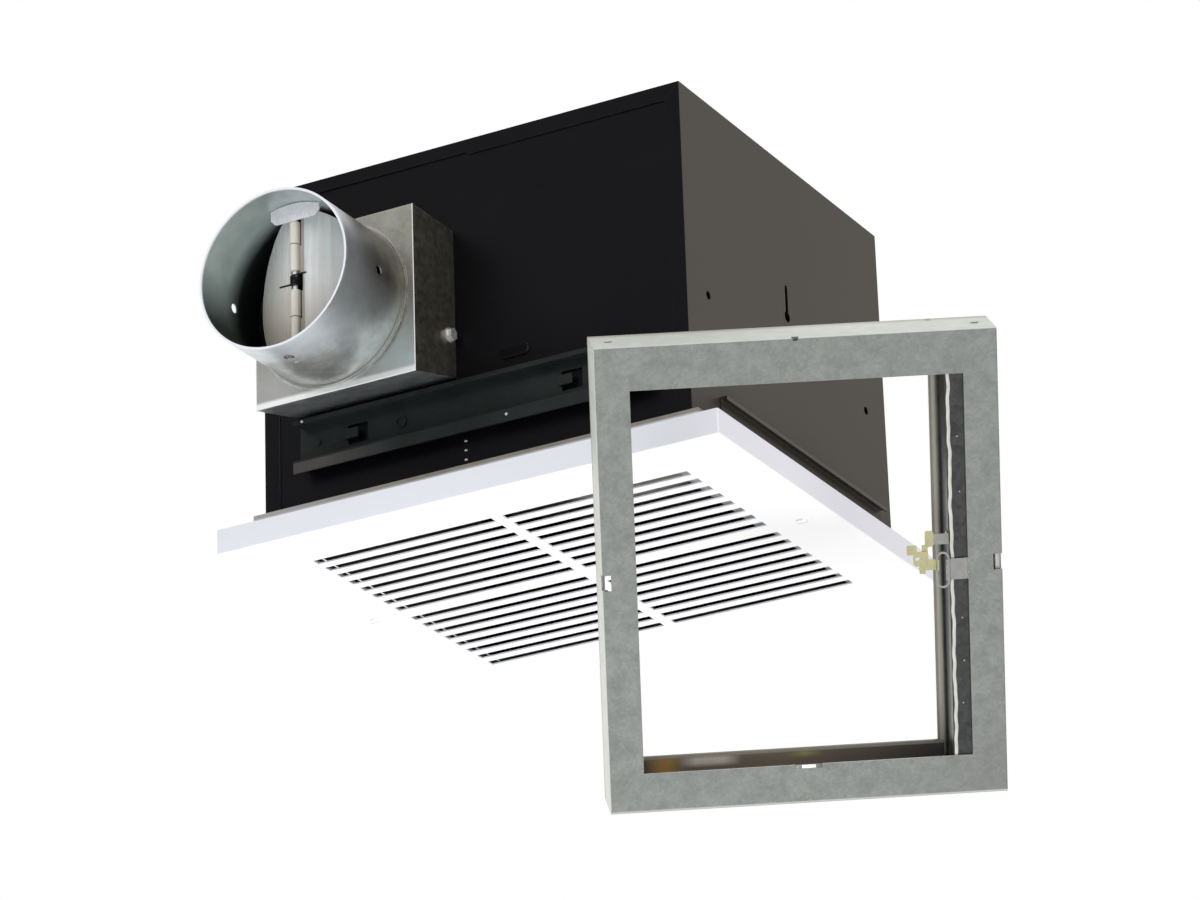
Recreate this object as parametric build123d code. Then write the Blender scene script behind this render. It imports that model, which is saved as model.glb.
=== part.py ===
from build123d import *
from math import atan2, cos, degrees, pi, radians, sin, sqrt
import os

# A ceiling exhaust fan with a side duct, and the ceiling damper that closes its opening in a fire.
# Millimetres, +Z up. The origin is the middle of the ceiling opening, in the plane of the ceiling.
# The duct leaves towards -Y. The ceiling damper stands apart, in its own tilted frame.

os.makedirs("parts", exist_ok=True)

# Housing
sheet = 0.9
housing_length = 287.0
housing_width = 257.0
housing_height = 219.0
wrap_flange = 10.0
seam_gap = 0.2
overrun = 5.0
seat_gap = 0.3
running_gap = 0.1
screw_gap = 0.15

joist_hole_radius = 2.6
joist_hole_spacing = 204.0
joist_hole_height = 91.5
keyhole_height = 116.0
keyhole_bulb_radius = 3.4
keyhole_slot_radius = 1.6
keyhole_slot_rise = 19.0
cover_flange_step = 1.6
cover_tab = 14.0
knockout_radius = 11.0
knockout_groove = 0.8
knockout_from_right = 34.0
knockout_from_back = 40.0
pocket_x = 27.7
pocket_z = 75.2
pocket_length = 20.0
pocket_height = 8.0
pocket_rise = 1.4
lance_x = -6.2
lance_bottom = 14.0
lance_pitch = 6.0
lance_count = 3
lance_radius = 1.3

# Flange strip at the ceiling, and the angles on the two sides
strip_reach = 6.0
strip_front_reach = 4.0
strip_height = 8.9
side_angle_height = 29.4
side_angle_reach = 5.0
side_angle_lip = 2.4
side_angle_length = 207.0
side_angle_shift = 10.0

# Hanger rails on the front and back
rail_half_length = 118.0
rail_box_gap = 6.4
rail_height = 27.1
rail_sheet = 1.2
rail_reach = 9.5
rail_lip = 3.0
rail_drop_lip = 6.5
rail_window_length = 13.6
rail_window_height = 12.4
rail_window_left = -78.0
rail_window_right = 67.0
rail_tab_length = 8.0
rail_eye_x = -48.5
rail_eye_radius = 4.0
rail_eye_width = 1.4
rail_rivet_radius = 2.0
rail_rivet_rise = 1.0

# Outlet box and collar
box_width = 109.0
box_height = 107.0
box_depth = 46.0
box_rise = 12.0
box_bend = 0.7
box_x = -66.0
box_centre_share = 0.495
outlet_width = 104.0
outlet_margin = 2.0
outlet_tab_depth = 12.0
outlet_tab_height = 60.0
box_screw_drop = 16.4
box_screw_back = 6.0
collar_radius = 50.0
collar_x = -67.6
collar_rise = 0.7
collar_reach = 65.0
collar_rim_bead = 0.5
collar_rim_bead_length = 1.6
collar_inner_flange = 1.8
collar_shoulder = 1.0
collar_shoulder_length = 1.5
root_bead_radius = 52.0
root_bead_length = 1.4
side_hole_radius = 2.9
side_hole_back = 36.0
bottom_hole_radius = 3.2
bottom_hole_back = 17.0

# Backdraft damper in the collar
damper_rod_radius = 1.6
damper_rod_back = 25.0
knuckle_radius = 3.2
knuckle_gap = 0.4
flap_sheet = 0.8
flap_clearance = 0.9
flap_open_at_rest = 35.0
flap_knuckle_shares = (-0.86, -0.46, -0.10, 0.14, 0.50, 0.80)
spring_wire_radius = 0.55
spring_radius = 2.6
spring_pitch = 1.4
spring_turns = 4
spring_leg = 9.0
damper_bracket_width = 33.0
damper_bracket_height = 11.0
damper_bracket_chamfer = 3.0
damper_bracket_shift = 3.0
damper_bracket_inset = 4.0
damper_bracket_foot = 4.4

# Screws
hex_screw_flats = 7.0
hex_screw_head = 3.2
hex_screw_washer_radius = 4.6
hex_screw_washer = 0.8
hex_screw_radius = 1.9
hex_screw_length = 7.0
pan_screw_head_radius = 3.4
pan_screw_head = 1.8
pan_screw_radius = 1.6
pan_screw_length = 6.0

# Blower
wheel_x = 12.0
wheel_y = 8.0
wheel_radius = 75.0
wheel_clearance = 9.0
wheel_ring = 11.5
wheel_sheet = 1.0
blade_count = 36
blade_thickness = 0.7
blade_bow_angle = 1.5
blade_lead_angle = 8.0
hub_radius = 11.0
hub_length = 20.0
shaft_radius = 4.0
shaft_flat_depth = 0.8
shaft_below = 6.0
bushing_radius = 9.0
bushing_length = 9.0
tongue_gap = 7.0
tongue_radius = 1.6
inlet_throat_radius = 61.0
inlet_mouth_radius = 78.0
inlet_overlap = 2.5
set_screw_radius = 2.4
set_screw_length = 6.0

# Motor
motor_radius = 43.0
motor_bottom_gap = 4.0
motor_top_gap = 10.1
motor_cap_height = 12.0
motor_cap_radius = 34.0
motor_vent_count = 6
motor_vent_width = 3.0
motor_vent_length = 14.0
motor_plate_ear = 8.0
motor_plate_sheet = 1.2
motor_opening_radius = 30.0
motor_bolt_circle = 52.0
motor_bolt_radius = 2.5
grommet_radius = 6.5
motor_bolt_head_radius = 4.5
motor_bolt_head = 3.0
motor_bolt_count = 3

# Electrical pieces
capacitor_radius = 14.0
capacitor_length = 46.0
capacitor_x = 104.0
capacitor_y = -92.0
capacitor_strap_width = 8.0
wiring_length = 74.0
wiring_width = 52.0
wiring_floor_gap = 10.4
receptacle_length = 24.0
receptacle_height = 16.0
receptacle_depth = 12.0
plug_length = 19.0
plug_height = 11.0
plug_depth = 15.0

# Blower feet
foot_width = 22.0
foot_reach = 24.0

# Grille
grille_length = 336.0
grille_width = 289.0
grille_depth = 15.6
grille_corner_radius = 1.6
slot_field_length = 252.0
slot_field_width = 212.2
slot_field_shift = 1.4
slot_width = 6.5
slot_rows = 8
slot_group_gap = 12.6
slot_centre_bar = 7.4
grille_screw_x = 146.3
grille_screw_radius = 1.8
grille_screw_head_radius = 3.6
grille_screw_head = 1.6
grille_screw_rise = 9.0
grille_clip_width = 12.0
grille_clip_sheet = 0.8

# Ceiling damper: its frame, its place and its tilt
frame_width = 221.0
frame_height = 261.0
frame_depth = 39.0
frame_sheet = 0.9
frame_side_flange = 19.0
frame_top_flange = 24.3
frame_bottom_flange = 22.0
frame_pocket_flange = 33.0
frame_bend = 0.8
frame_x = 227.2
frame_y = -166.5
frame_z = -120.2
frame_yaw = 34.09
frame_lean = 33.82
frame_roll = -3.43
corner_rivet_radius = 2.4
corner_rivet_rise = 0.6
frame_notch_width = 5.0
frame_notch_height = 9.0
frame_notch_shift = 4.6
frame_notch_drop = 8.8
top_notch_radius = 2.0
bottom_slot_length = 15.0
bottom_slot_width = 2.6
bottom_hole_inset = 2.9
bottom_small_hole = 1.5

# Ceiling damper: the folding curtain
slat_count = 8
slat_span = 30.0
slat_pitch = 3.0
slat_sheet = 0.5
slat_end_gap = 1.6
bead_radius = 0.9
hook_inner_radius = 1.2
hook_outer_radius = 1.8
hook_start_angle = 140.0
hook_front = 4.5
lead_blade_depth = 26.0
lead_blade_hem = 2.4
lead_front_width = 11.8
lead_front_gap = 0.3
lead_bridge = 4.0
anchor_length = 24.0

# Fusible link
strap_width = 11.8
strap_sheet = 0.7
strap_z = -2.9
strap_behind_flange = 11.0
ring_wire_radius = 0.7
ring_left_inset = 17.2
ring_right_inset = 10.9
ring_height = 20.7
ring_clearance = 0.1
ring_forward = 0.5
link_sheet = 0.6
link_left_inset = 30.3
link_right_inset = 22.0
link_bottom = -0.4
link_top = 7.8
link_neck_width = 6.0
link_neck_drop = 2.4
link_hole_radius = 1.1
link_tip_width = 5.6
link_tip_overhang = 3.5
link_tip_top = 11.5
link_tab_width = 3.3
link_tab_inset = 27.0
link_tab_bottom = -4.8
link_hook_left_inset = 23.5
link_hook_right_inset = 18.8
link_hook_bottom = 10.0
link_hook_top = 19.0
link_hook_radius = 1.6
link_arm_inset = 25.3
link_arm_bottom = 0.4
clip_sheet = 0.6
clip_bottom = 11.0
clip_top = 17.0
clip_tail = 8.0

# Values worked out from the sizes above
half_length = housing_length / 2
half_width = housing_width / 2
box_z = housing_height * box_centre_share
box_screw_z = box_z - box_screw_drop
collar_z = box_z + collar_rise
rail_bottom = box_z - box_height / 2 + box_rise - rail_box_gap - rail_height
panel_face_y = -half_width + sheet
panel_back_y = panel_face_y + sheet
box_front_y = -half_width - box_depth
collar_rim_y = box_front_y - collar_reach
damper_rod_y = collar_rim_y + damper_rod_back
collar_bore = collar_radius - sheet
outlet_left = box_x - outlet_width / 2
outlet_right = box_x + outlet_width / 2
scroll_bottom = box_z - box_height / 2 + box_rise + outlet_margin
scroll_top = box_z + box_height / 2 - outlet_margin
wheel_bottom = scroll_bottom + wheel_clearance
wheel_top = scroll_top - wheel_clearance
motor_base = scroll_top + sheet + motor_bottom_gap + motor_plate_sheet
motor_core_height = housing_height - sheet - motor_top_gap - motor_cap_height - motor_base
frame_pose = (
    Pos(frame_x, frame_y, frame_z) * Rot(0, 0, frame_yaw) * Rot(frame_lean, 0, 0) * Rot(0, frame_roll, 0)
)
frame_web_x = frame_width / 2 - frame_sheet
curtain_x = frame_web_x - hook_outer_radius
curtain_height = frame_height - 2 * frame_sheet - 2 * slat_end_gap
flange_edge = frame_width / 2 - frame_side_flange
ring_left = flange_edge - ring_left_inset
ring_right = flange_edge - ring_right_inset
link_plate_y = -ring_forward + ring_wire_radius + ring_clearance


def block(x, y, z):
    """A box between a low and a high limit on each axis."""
    spans = (x, y, z)
    middle = [(low + high) / 2 for low, high in spans]
    return Pos(*middle) * Box(*[high - low for low, high in spans])


def rod(start, end, radius, inner=0):
    """A round bar between two points, or a tube where it has an inner radius."""
    run = Vector(*end) - Vector(*start)
    face = Circle(radius)
    if inner:
        face = face - Circle(inner)
    return extrude(Plane(origin=start, z_dir=run) * face, run.length)


def plate(plane, points, thickness):
    """A flat polygon on a plane, given its thickness along the plane's normal."""
    return extrude(plane * make_face(Polyline(*points, close=True)), thickness)


def both_sides(shape, plane=Plane.YZ):
    """A shape together with its mirror image, as separate solids."""
    return [shape, mirror(shape, plane)]


def hex_screw(point, direction):
    """A hexagon washer-head sheet-metal screw. The point is on the sheet, the direction is outwards."""
    seat = Plane(origin=point, z_dir=direction)
    head = extrude(seat * RegularPolygon(hex_screw_flats / 2, 6, major_radius=False), hex_screw_head)
    washer = extrude(seat * Circle(hex_screw_washer_radius), hex_screw_washer)
    shank = extrude(seat * Circle(hex_screw_radius), -hex_screw_length)
    return head + washer + shank


def pan_screw(point, direction):
    """A small pan-head screw."""
    seat = Plane(origin=point, z_dir=direction)
    head = extrude(seat * Circle(pan_screw_head_radius), pan_screw_head)
    rim = head.edges().sort_by(Axis(point, direction))[-1]
    head = fillet(rim, pan_screw_head / 2)
    return head + extrude(seat * Circle(pan_screw_radius), -pan_screw_length)


# Housing

def joist_holes():
    """The round holes and the keyhole through both side walls."""
    reach = half_length + overrun
    cuts = []
    for y in (-joist_hole_spacing / 2, joist_hole_spacing / 2):
        cuts.append(rod((-reach, y, joist_hole_height), (reach, y, joist_hole_height), joist_hole_radius))
    cuts.append(rod((-reach, 0, keyhole_height), (reach, 0, keyhole_height), keyhole_bulb_radius))
    top = keyhole_height + keyhole_slot_rise
    cuts.append(
        block((-reach, reach), (-keyhole_slot_radius, keyhole_slot_radius), (keyhole_height, top))
    )
    cuts.append(rod((-reach, 0, top), (reach, 0, top), keyhole_slot_radius))
    return cuts


def cover_flange(gap=0):
    """The cover's down-turned front flange, with its ends mitred against the side flanges."""
    low = housing_height - wrap_flange - gap
    points = [
        (-half_length - gap, housing_height),
        (half_length + gap, housing_height),
        (half_length - wrap_flange, low),
        (0, low),
        (0, low + cover_flange_step),
        (-half_length + wrap_flange - cover_flange_step, low + cover_flange_step),
    ]
    return plate(Plane.XZ.offset(half_width), points, -sheet)


def make_housing_wrap():
    """Back and side walls from one bent sheet, with the side flanges that turn over the front."""
    top = housing_height - sheet
    wall = block((-half_length, half_length), (-half_width, half_width), (0, top))
    hollow = block(
        (-half_length + sheet, half_length - sheet), (panel_face_y, half_width - sheet),
        (-overrun, top + overrun),
    )
    window = block(
        (-half_length + wrap_flange, half_length - wrap_flange),
        (-half_width - overrun, panel_face_y + overrun),
        (-overrun, top + overrun),
    )
    tab = block(
        (-half_length, half_length), (half_width - cover_tab, half_width), (top - sheet, top)
    )
    return wall - hollow - window + tab - cover_flange(seam_gap) - joist_holes() - cover_screw_holes()


def make_front_panel():
    """The panel behind the flanges, with the outlet hole, its two screw tabs, a pocket and lanced marks."""
    edge = half_length - sheet - seam_gap
    panel = block((-edge, edge), (panel_face_y, panel_back_y), (0, housing_height - sheet - seam_gap))
    panel -= block(
        (outlet_left, outlet_right), (-half_width - overrun, 0), (scroll_bottom, scroll_top)
    )
    inner = box_width / 2 - sheet - seam_gap
    tab = block(
        (outlet_width / 2, inner), (panel_face_y - outlet_tab_depth, panel_face_y),
        (box_z - outlet_tab_height / 2, box_z + outlet_tab_height / 2),
    )
    for side in both_sides(tab):
        panel += Pos(box_x, 0, 0) * side
    face = Plane(origin=(pocket_x, panel_face_y, pocket_z), x_dir=(1, 0, 0), z_dir=(0, -1, 0))
    pocket = extrude(face * SlotOverall(pocket_length, pocket_height), pocket_rise)
    panel += pocket
    for index in range(lance_count):
        z = lance_bottom + index * lance_pitch
        panel -= rod((lance_x, panel_face_y - overrun, z), (lance_x, panel_back_y + overrun, z), lance_radius)
    for direction in (-1, 1):
        x = box_x + direction * box_width / 2
        y = -half_width - box_screw_back
        inward = x - direction * (hex_screw_length + overrun)
        panel -= rod((x, y, box_screw_z), (inward, y, box_screw_z), hex_screw_radius + screw_gap)
    return panel


def make_top_cover():
    """The top sheet with its front flange and a cable knockout."""
    top = block(
        (-half_length, half_length), (-half_width, half_width), (housing_height - sheet, housing_height)
    )
    x = half_length - knockout_from_right
    y = half_width - knockout_from_back
    ring = rod((x, y, housing_height - sheet / 2), (x, y, housing_height + overrun),
               knockout_radius, knockout_radius - knockout_groove)
    return top + cover_flange() - ring - cover_screw_holes()


def cover_screw_places():
    """The screws that hold the cover to the back wall."""
    reach = half_length - wrap_flange
    return [(side * reach, housing_height) for side in (-1, 0, 1)]


def cover_screw_holes():
    cuts = []
    for x, z in cover_screw_places():
        y = half_width - wrap_flange
        cuts.append(rod((x, y, z - wrap_flange), (x, y, z + overrun), pan_screw_radius + screw_gap))
    return cuts


def make_housing_screws():
    return [pan_screw((x, half_width - wrap_flange, z), (0, 0, 1)) for x, z in cover_screw_places()]


def make_ceiling_flange():
    """An angle around the foot of the housing that lies on the ceiling board, with an upturned edge."""
    reach_x = half_length + strip_reach
    reach_y = half_width + strip_front_reach
    leaf = block((-reach_x, reach_x), (-reach_y, reach_y), (0, strip_height))
    leaf -= block(
        (-reach_x + sheet, reach_x - sheet), (-reach_y + sheet, reach_y - sheet),
        (sheet, strip_height + overrun),
    )
    leaf -= block((-half_length, half_length), (-half_width, half_width), (-overrun, strip_height))
    for side in (-1, 1):
        x = side * grille_screw_x
        leaf -= rod((x, 0, -overrun), (x, 0, sheet + overrun), grille_screw_radius + screw_gap)
    return leaf


def make_side_angles():
    """The angles along the foot of each side wall: an upright, a ledge and a turned-down lip."""
    low = sheet
    y = (-side_angle_length / 2 + side_angle_shift, side_angle_length / 2 + side_angle_shift)
    upright = block((half_length, half_length + sheet), y, (low, low + side_angle_height))
    top = low + side_angle_height
    edge = half_length + side_angle_reach
    ledge = block((half_length, edge), y, (top - sheet, top))
    lip = block((edge - sheet, edge), y, (top - side_angle_lip, top))
    return both_sides(upright + ledge + lip)


# Hanger rails

def make_hanger_rail():
    """A channel against the housing wall: a short lip above, a long lip below, two windows and tabs."""
    back = -half_width
    front = back - rail_reach
    low = rail_bottom
    high = rail_bottom + rail_height
    x = (-rail_half_length, rail_half_length)
    rail = block(x, (back - rail_sheet, back), (low, high))
    rail += block(x, (front, back), (high - rail_sheet, high))
    rail += block(x, (front, front + rail_sheet), (high - rail_lip, high))
    rail += block(x, (front, back), (low, low + rail_sheet))
    rail += block(x, (front, front + rail_sheet), (low - rail_drop_lip, low))
    middle = (low + high) / 2
    for centre in (rail_window_left, rail_window_right):
        rail -= block(
            (centre - rail_window_length / 2, centre + rail_window_length / 2),
            (back - rail_sheet - overrun, back + overrun),
            (middle - rail_window_height / 2, middle + rail_window_height / 2),
        )
        rail += block(
            (centre - rail_window_length / 2, centre - rail_window_length / 2 + rail_tab_length),
            (back - 3 * rail_sheet, back - 2 * rail_sheet),
            (middle - rail_window_height / 4, middle + rail_window_height / 4),
        )
        rail += block(
            (centre - rail_window_length / 2 - rail_sheet, centre - rail_window_length / 2),
            (back - 3 * rail_sheet, back),
            (middle - rail_window_height / 4, middle + rail_window_height / 4),
        )
    eye = rod(
        (rail_eye_x, back - rail_sheet, middle), (rail_eye_x, back - 2 * rail_sheet, middle),
        rail_eye_radius, rail_eye_radius - rail_eye_width,
    )
    rail += eye
    for share in (-1, 1):
        x_rivet = share * (rail_half_length - rail_window_height)
        start = (x_rivet, back - rail_sheet, middle)
        rail += rod(start, (x_rivet, back - rail_sheet - rail_rivet_rise, middle), rail_rivet_radius)
    return rail


# Outlet box and collar

def make_duct_box():
    """The outlet box, open towards the housing. Its floor rises to clear the hanger rail."""
    x = (box_x - box_width / 2, box_x + box_width / 2)
    z = (box_z - box_height / 2, box_z + box_height / 2)
    slope = box_rise / (panel_face_y - box_front_y)
    outer = [
        (box_front_y, z[0]), (panel_face_y, z[0] + box_rise), (panel_face_y, z[1]), (box_front_y, z[1]),
    ]
    floor = z[0] + sheet * sqrt(1 + slope ** 2)
    back = panel_face_y + overrun
    inner = [
        (box_front_y + sheet, floor + slope * sheet), (back, floor + slope * (back - box_front_y)),
        (back, z[1] - sheet), (box_front_y + sheet, z[1] - sheet),
    ]
    shell = plate(Plane.YZ.offset(x[0]), outer, x[1] - x[0])
    shell = fillet(shell.faces().sort_by(Axis.Y)[0].edges(), box_bend)
    shell -= plate(Plane.YZ.offset(x[0] + sheet), inner, x[1] - x[0] - 2 * sheet)
    start = (collar_x, box_front_y, collar_z)
    shell += rod(start, (collar_x, box_front_y - root_bead_length, collar_z), root_bead_radius)
    hole = collar_radius + collar_shoulder + running_gap
    shell -= rod(
        (collar_x, box_front_y - overrun, collar_z), (collar_x, box_front_y + overrun, collar_z), hole
    )
    y = -half_width - box_screw_back
    shell -= rod(
        (x[0] - overrun, y, box_screw_z), (x[1] + overrun, y, box_screw_z), hex_screw_radius + screw_gap
    )
    return shell


def make_duct_collar():
    """The round collar: a rim curled inwards, the tube, a shoulder, and a flange clinched behind the box."""
    seat = box_front_y + sheet
    tube_end = seat + sheet
    rim_end = collar_rim_y + collar_rim_bead_length
    rim_bore = collar_bore - collar_rim_bead
    shoulder = collar_radius + collar_shoulder
    shoulder_y = box_front_y - root_bead_length - collar_shoulder_length
    profile = Polyline(
        (collar_bore, shoulder_y + sheet),
        (shoulder - sheet, shoulder_y + sheet),
        (shoulder - sheet, tube_end),
        (collar_radius + collar_inner_flange, tube_end),
        (collar_radius + collar_inner_flange, seat),
        (shoulder, seat),
        (shoulder, shoulder_y),
        (collar_radius, shoulder_y),
        (collar_radius, collar_rim_y),
        (rim_bore, collar_rim_y),
        (rim_bore, rim_end - collar_rim_bead),
        (collar_bore, rim_end),
        close=True,
    )
    collar = revolve(make_face(profile), Axis.Y)
    reach = collar_radius + overrun
    y = collar_rim_y + side_hole_back
    collar -= rod((-reach, y, 0), (reach, y, 0), side_hole_radius)
    y = collar_rim_y + bottom_hole_back
    collar -= rod((0, y, -reach), (0, y, 0), bottom_hole_radius)
    collar -= rod(
        (0, damper_rod_y, -reach), (0, damper_rod_y, reach), damper_rod_radius + running_gap
    )
    return Pos(collar_x, 0, collar_z) * collar


def make_duct_box_screws():
    y = -half_width - box_screw_back
    right = hex_screw((box_x + box_width / 2, y, box_screw_z), (1, 0, 0))
    left = hex_screw((box_x - box_width / 2, y, box_screw_z), (-1, 0, 0))
    return [right, left]


# Backdraft damper

def make_damper_rod():
    """The hinge rod, flush with the collar above and below."""
    bar = rod((0, 0, -collar_radius), (0, 0, collar_radius), damper_rod_radius)
    return Pos(collar_x, damper_rod_y, collar_z) * bar


def knuckle_bands():
    """Heights of the flap knuckles along the rod, in turn for the right and the left flap."""
    reach = collar_bore - flap_clearance
    shares = flap_knuckle_shares
    bands = [(low * reach, high * reach) for low, high in zip(shares, shares[1:])]
    coil = bands.pop(2)
    return bands, coil


def make_flap(hand):
    """One half-disc flap in its closed place on the rod, then turned to where it hangs at rest."""
    bands, coil = knuckle_bands()
    radius = collar_bore - flap_clearance
    inner = knuckle_radius + knuckle_gap
    disc = Plane.XZ * Circle(radius)
    leaf = extrude(disc, flap_sheet / 2, both=True)
    leaf = leaf & block((inner, radius), (-flap_sheet, flap_sheet), (-radius, radius))
    coil_reach = spring_radius + spring_wire_radius + knuckle_gap * 3
    leaf -= block((0, coil_reach), (-flap_sheet, flap_sheet), coil)
    for index, (low, high) in enumerate(bands):
        if (index % 2 == 0) != (hand > 0):
            continue
        low += knuckle_gap
        high -= knuckle_gap
        bore = damper_rod_radius + running_gap
        leaf += block((bore, inner), (-flap_sheet / 2, flap_sheet / 2), (low, high))
        leaf += rod((0, 0, low), (0, 0, high), knuckle_radius)
        leaf -= rod((0, 0, low - overrun), (0, 0, high + overrun), bore)
    if hand < 0:
        leaf = Rot(0, 0, 180) * leaf
    turned = Rot(0, 0, hand * flap_open_at_rest) * leaf
    return Pos(collar_x, damper_rod_y, collar_z) * turned


def make_damper_spring():
    """The torsion spring coiled on the rod between the flaps, with its two short legs."""
    bands, coil = knuckle_bands()
    height = spring_pitch * spring_turns
    middle = (coil[0] + coil[1]) / 2
    helix = Helix(spring_pitch, height, spring_radius, center=(0, 0, middle - height / 2))
    start = helix @ 0
    section = Plane(origin=start, z_dir=helix % 0) * Circle(spring_wire_radius)
    coil_wire = sweep(section, path=helix)
    spring = Rot(0, 0, -90) * coil_wire
    for side, z in ((-1, middle - height / 2), (1, middle + height / 2)):
        spring += rod((0, -spring_radius, z), (side * spring_leg, -spring_radius, z), spring_wire_radius)
    return Pos(collar_x, damper_rod_y, collar_z) * spring


def make_damper_bracket():
    """The bright plate in front of the rod's upper end, rounded to the collar's wall, and its foot."""
    half = damper_bracket_width / 2
    wall = collar_bore - seat_gap
    low = wall - damper_bracket_height
    cut = damper_bracket_chamfer
    left = damper_bracket_shift - half
    right = damper_bracket_shift + half
    points = [
        (left + cut, low), (right - cut, low), (right, low + cut), (right, wall), (left, wall),
        (left, low + cut),
    ]
    front = knuckle_radius + knuckle_gap
    face = plate(Plane.XZ.offset(front), points, sheet)
    face = face & rod((0, 0, 0), (0, -front - overrun, 0), wall)
    high = collar_bore - damper_bracket_inset
    foot_half = damper_bracket_foot / 2
    foot = block((-foot_half, foot_half), (-front, damper_rod_radius + flap_sheet), (high - sheet, high))
    foot -= rod((0, 0, low), (0, 0, high + overrun), damper_rod_radius + running_gap)
    return Pos(collar_x, damper_rod_y, collar_z) * (face + foot)


# Blower

def scroll_radius(angle):
    """Inner radius of the spiral wall at an angle counted from the tongue."""
    dx = outlet_right - wheel_x
    start = atan2(-sqrt((wheel_radius + tongue_gap) ** 2 - dx ** 2), dx)
    turn = (pi - start) % (2 * pi)
    small = wheel_radius + tongue_gap
    large = wheel_x - outlet_left
    return start, turn, small + (large - small) * angle / turn


def scroll_point(angle, offset):
    start, turn, radius = scroll_radius(angle)
    radius += offset
    return (wheel_x + radius * cos(start + angle), wheel_y + radius * sin(start + angle))


def scroll_face(offset, end_y):
    """The plan of the scroll: a spiral of arcs that runs into the straight outlet."""
    steps = 6
    turn = scroll_radius(0)[1]
    edges = []
    for index in range(steps):
        low = turn * index / steps
        high = turn * (index + 1) / steps
        edges.append(
            ThreePointArc(
                scroll_point(low, offset), scroll_point((low + high) / 2, offset), scroll_point(high, offset)
            )
        )
    corners = [
        scroll_point(turn, offset),
        (outlet_left - offset, end_y),
        (outlet_right + offset, end_y),
        (outlet_right + offset, scroll_point(0, offset)[1] - tongue_radius),
        scroll_point(0, offset),
    ]
    edges.extend(Polyline(*corners).edges())
    return make_face(edges)


def make_scroll_wall():
    """The spiral wall and the outlet's two side walls."""
    height = scroll_top - scroll_bottom
    outer = extrude(scroll_face(sheet, panel_back_y), height)
    inner = extrude(scroll_face(0, panel_back_y - overrun), height)
    wall = outer - inner
    x, y = scroll_point(0, 0)
    wall += rod((x, y, 0), (x, y, height), tongue_radius)
    return Pos(0, 0, scroll_bottom) * wall


def make_scroll_bottom_plate():
    """The lower cheek of the scroll, with the round inlet."""
    cheek = extrude(scroll_face(sheet, panel_back_y), -sheet)
    cheek = Pos(0, 0, scroll_bottom) * cheek
    return cheek - rod(
        (wheel_x, wheel_y, 0), (wheel_x, wheel_y, scroll_top), inlet_throat_radius + sheet + seam_gap
    )


def make_scroll_top_plate():
    """The upper cheek, with the opening for the motor's end and its three grommet holes."""
    cheek = Pos(0, 0, scroll_top) * extrude(scroll_face(sheet, panel_back_y), sheet)
    cheek -= rod((wheel_x, wheel_y, 0), (wheel_x, wheel_y, housing_height), motor_opening_radius)
    for x, y in motor_bolt_places():
        cheek -= rod((x, y, 0), (x, y, housing_height), grommet_radius / 2)
    return cheek


def make_inlet_ring():
    """The bell-mouthed inlet, turned from its profile."""
    low = scroll_bottom - sheet
    high = wheel_bottom + inlet_overlap
    mouth = inlet_mouth_radius - inlet_throat_radius
    inner = [
        Line((inlet_throat_radius, high), (inlet_throat_radius, low)),
        ThreePointArc(
            (inlet_throat_radius, low),
            (inlet_throat_radius + mouth * (1 - cos(pi / 4)), low - mouth / 2 * sin(pi / 4)),
            (inlet_mouth_radius, low - mouth / 2),
        ),
    ]
    outer_edge = Polyline(
        (inlet_mouth_radius, low - mouth / 2),
        (inlet_mouth_radius + sheet, low - mouth / 2),
        (inlet_mouth_radius + sheet, low),
        (inlet_throat_radius + sheet, low),
        (inlet_throat_radius + sheet, high),
        (inlet_throat_radius, high),
    )
    profile = make_face(inner + list(outer_edge.edges()))
    ring = revolve(Plane.XZ * profile, Axis.Z)
    return Pos(wheel_x, wheel_y, 0) * ring


def blade_face():
    """One forward-curved blade in plan."""
    inner = wheel_radius - wheel_ring
    middle = (inner + wheel_radius) / 2
    width = degrees(blade_thickness / wheel_radius)

    def at(radius, angle):
        return (radius * cos(radians(angle)), radius * sin(radians(angle)))

    outer = wheel_radius - wheel_sheet / 2
    near = ThreePointArc(at(inner, 0), at(middle, blade_bow_angle), at(outer, blade_lead_angle))
    far = ThreePointArc(
        at(outer, blade_lead_angle + width), at(middle, blade_bow_angle + width), at(inner, width)
    )
    ends = [Line(near @ 1, far @ 0), Line(far @ 1, near @ 0)]
    return make_face([near, ends[0], far, ends[1]])


def make_blower_wheel():
    """The squirrel-cage wheel: forward-curved blades between a back plate and a ring, with its hub."""
    low = wheel_bottom + wheel_sheet
    high = wheel_top - wheel_sheet
    blade = Pos(0, 0, low - wheel_sheet / 2) * extrude(blade_face(), high - low + wheel_sheet)
    blades = [Rot(0, 0, 360 * index / blade_count) * blade for index in range(blade_count)]
    ring = rod((0, 0, wheel_bottom), (0, 0, low), wheel_radius, wheel_radius - wheel_ring)
    back = rod((0, 0, high), (0, 0, wheel_top), wheel_radius)
    hub = rod((0, 0, high - hub_length), (0, 0, high), hub_radius)
    wheel = back + hub + ring + blades
    wheel -= rod((0, 0, 0), (0, 0, housing_height), shaft_radius + running_gap / 4)
    middle = high - hub_length / 2
    wheel -= rod((0, 0, middle), (hub_radius + overrun, 0, middle), set_screw_radius)
    return Pos(wheel_x, wheel_y, 0) * wheel


def make_wheel_set_screw():
    middle = wheel_top - wheel_sheet - hub_length / 2
    start = shaft_radius - shaft_flat_depth
    screw = rod((start, 0, middle), (start + set_screw_length, 0, middle), set_screw_radius - running_gap / 4)
    socket = Plane(origin=(start + set_screw_length, 0, middle), z_dir=(1, 0, 0))
    screw -= extrude(socket * RegularPolygon(set_screw_radius / 2, 6), -set_screw_radius)
    return Pos(wheel_x, wheel_y, 0) * screw


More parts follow.
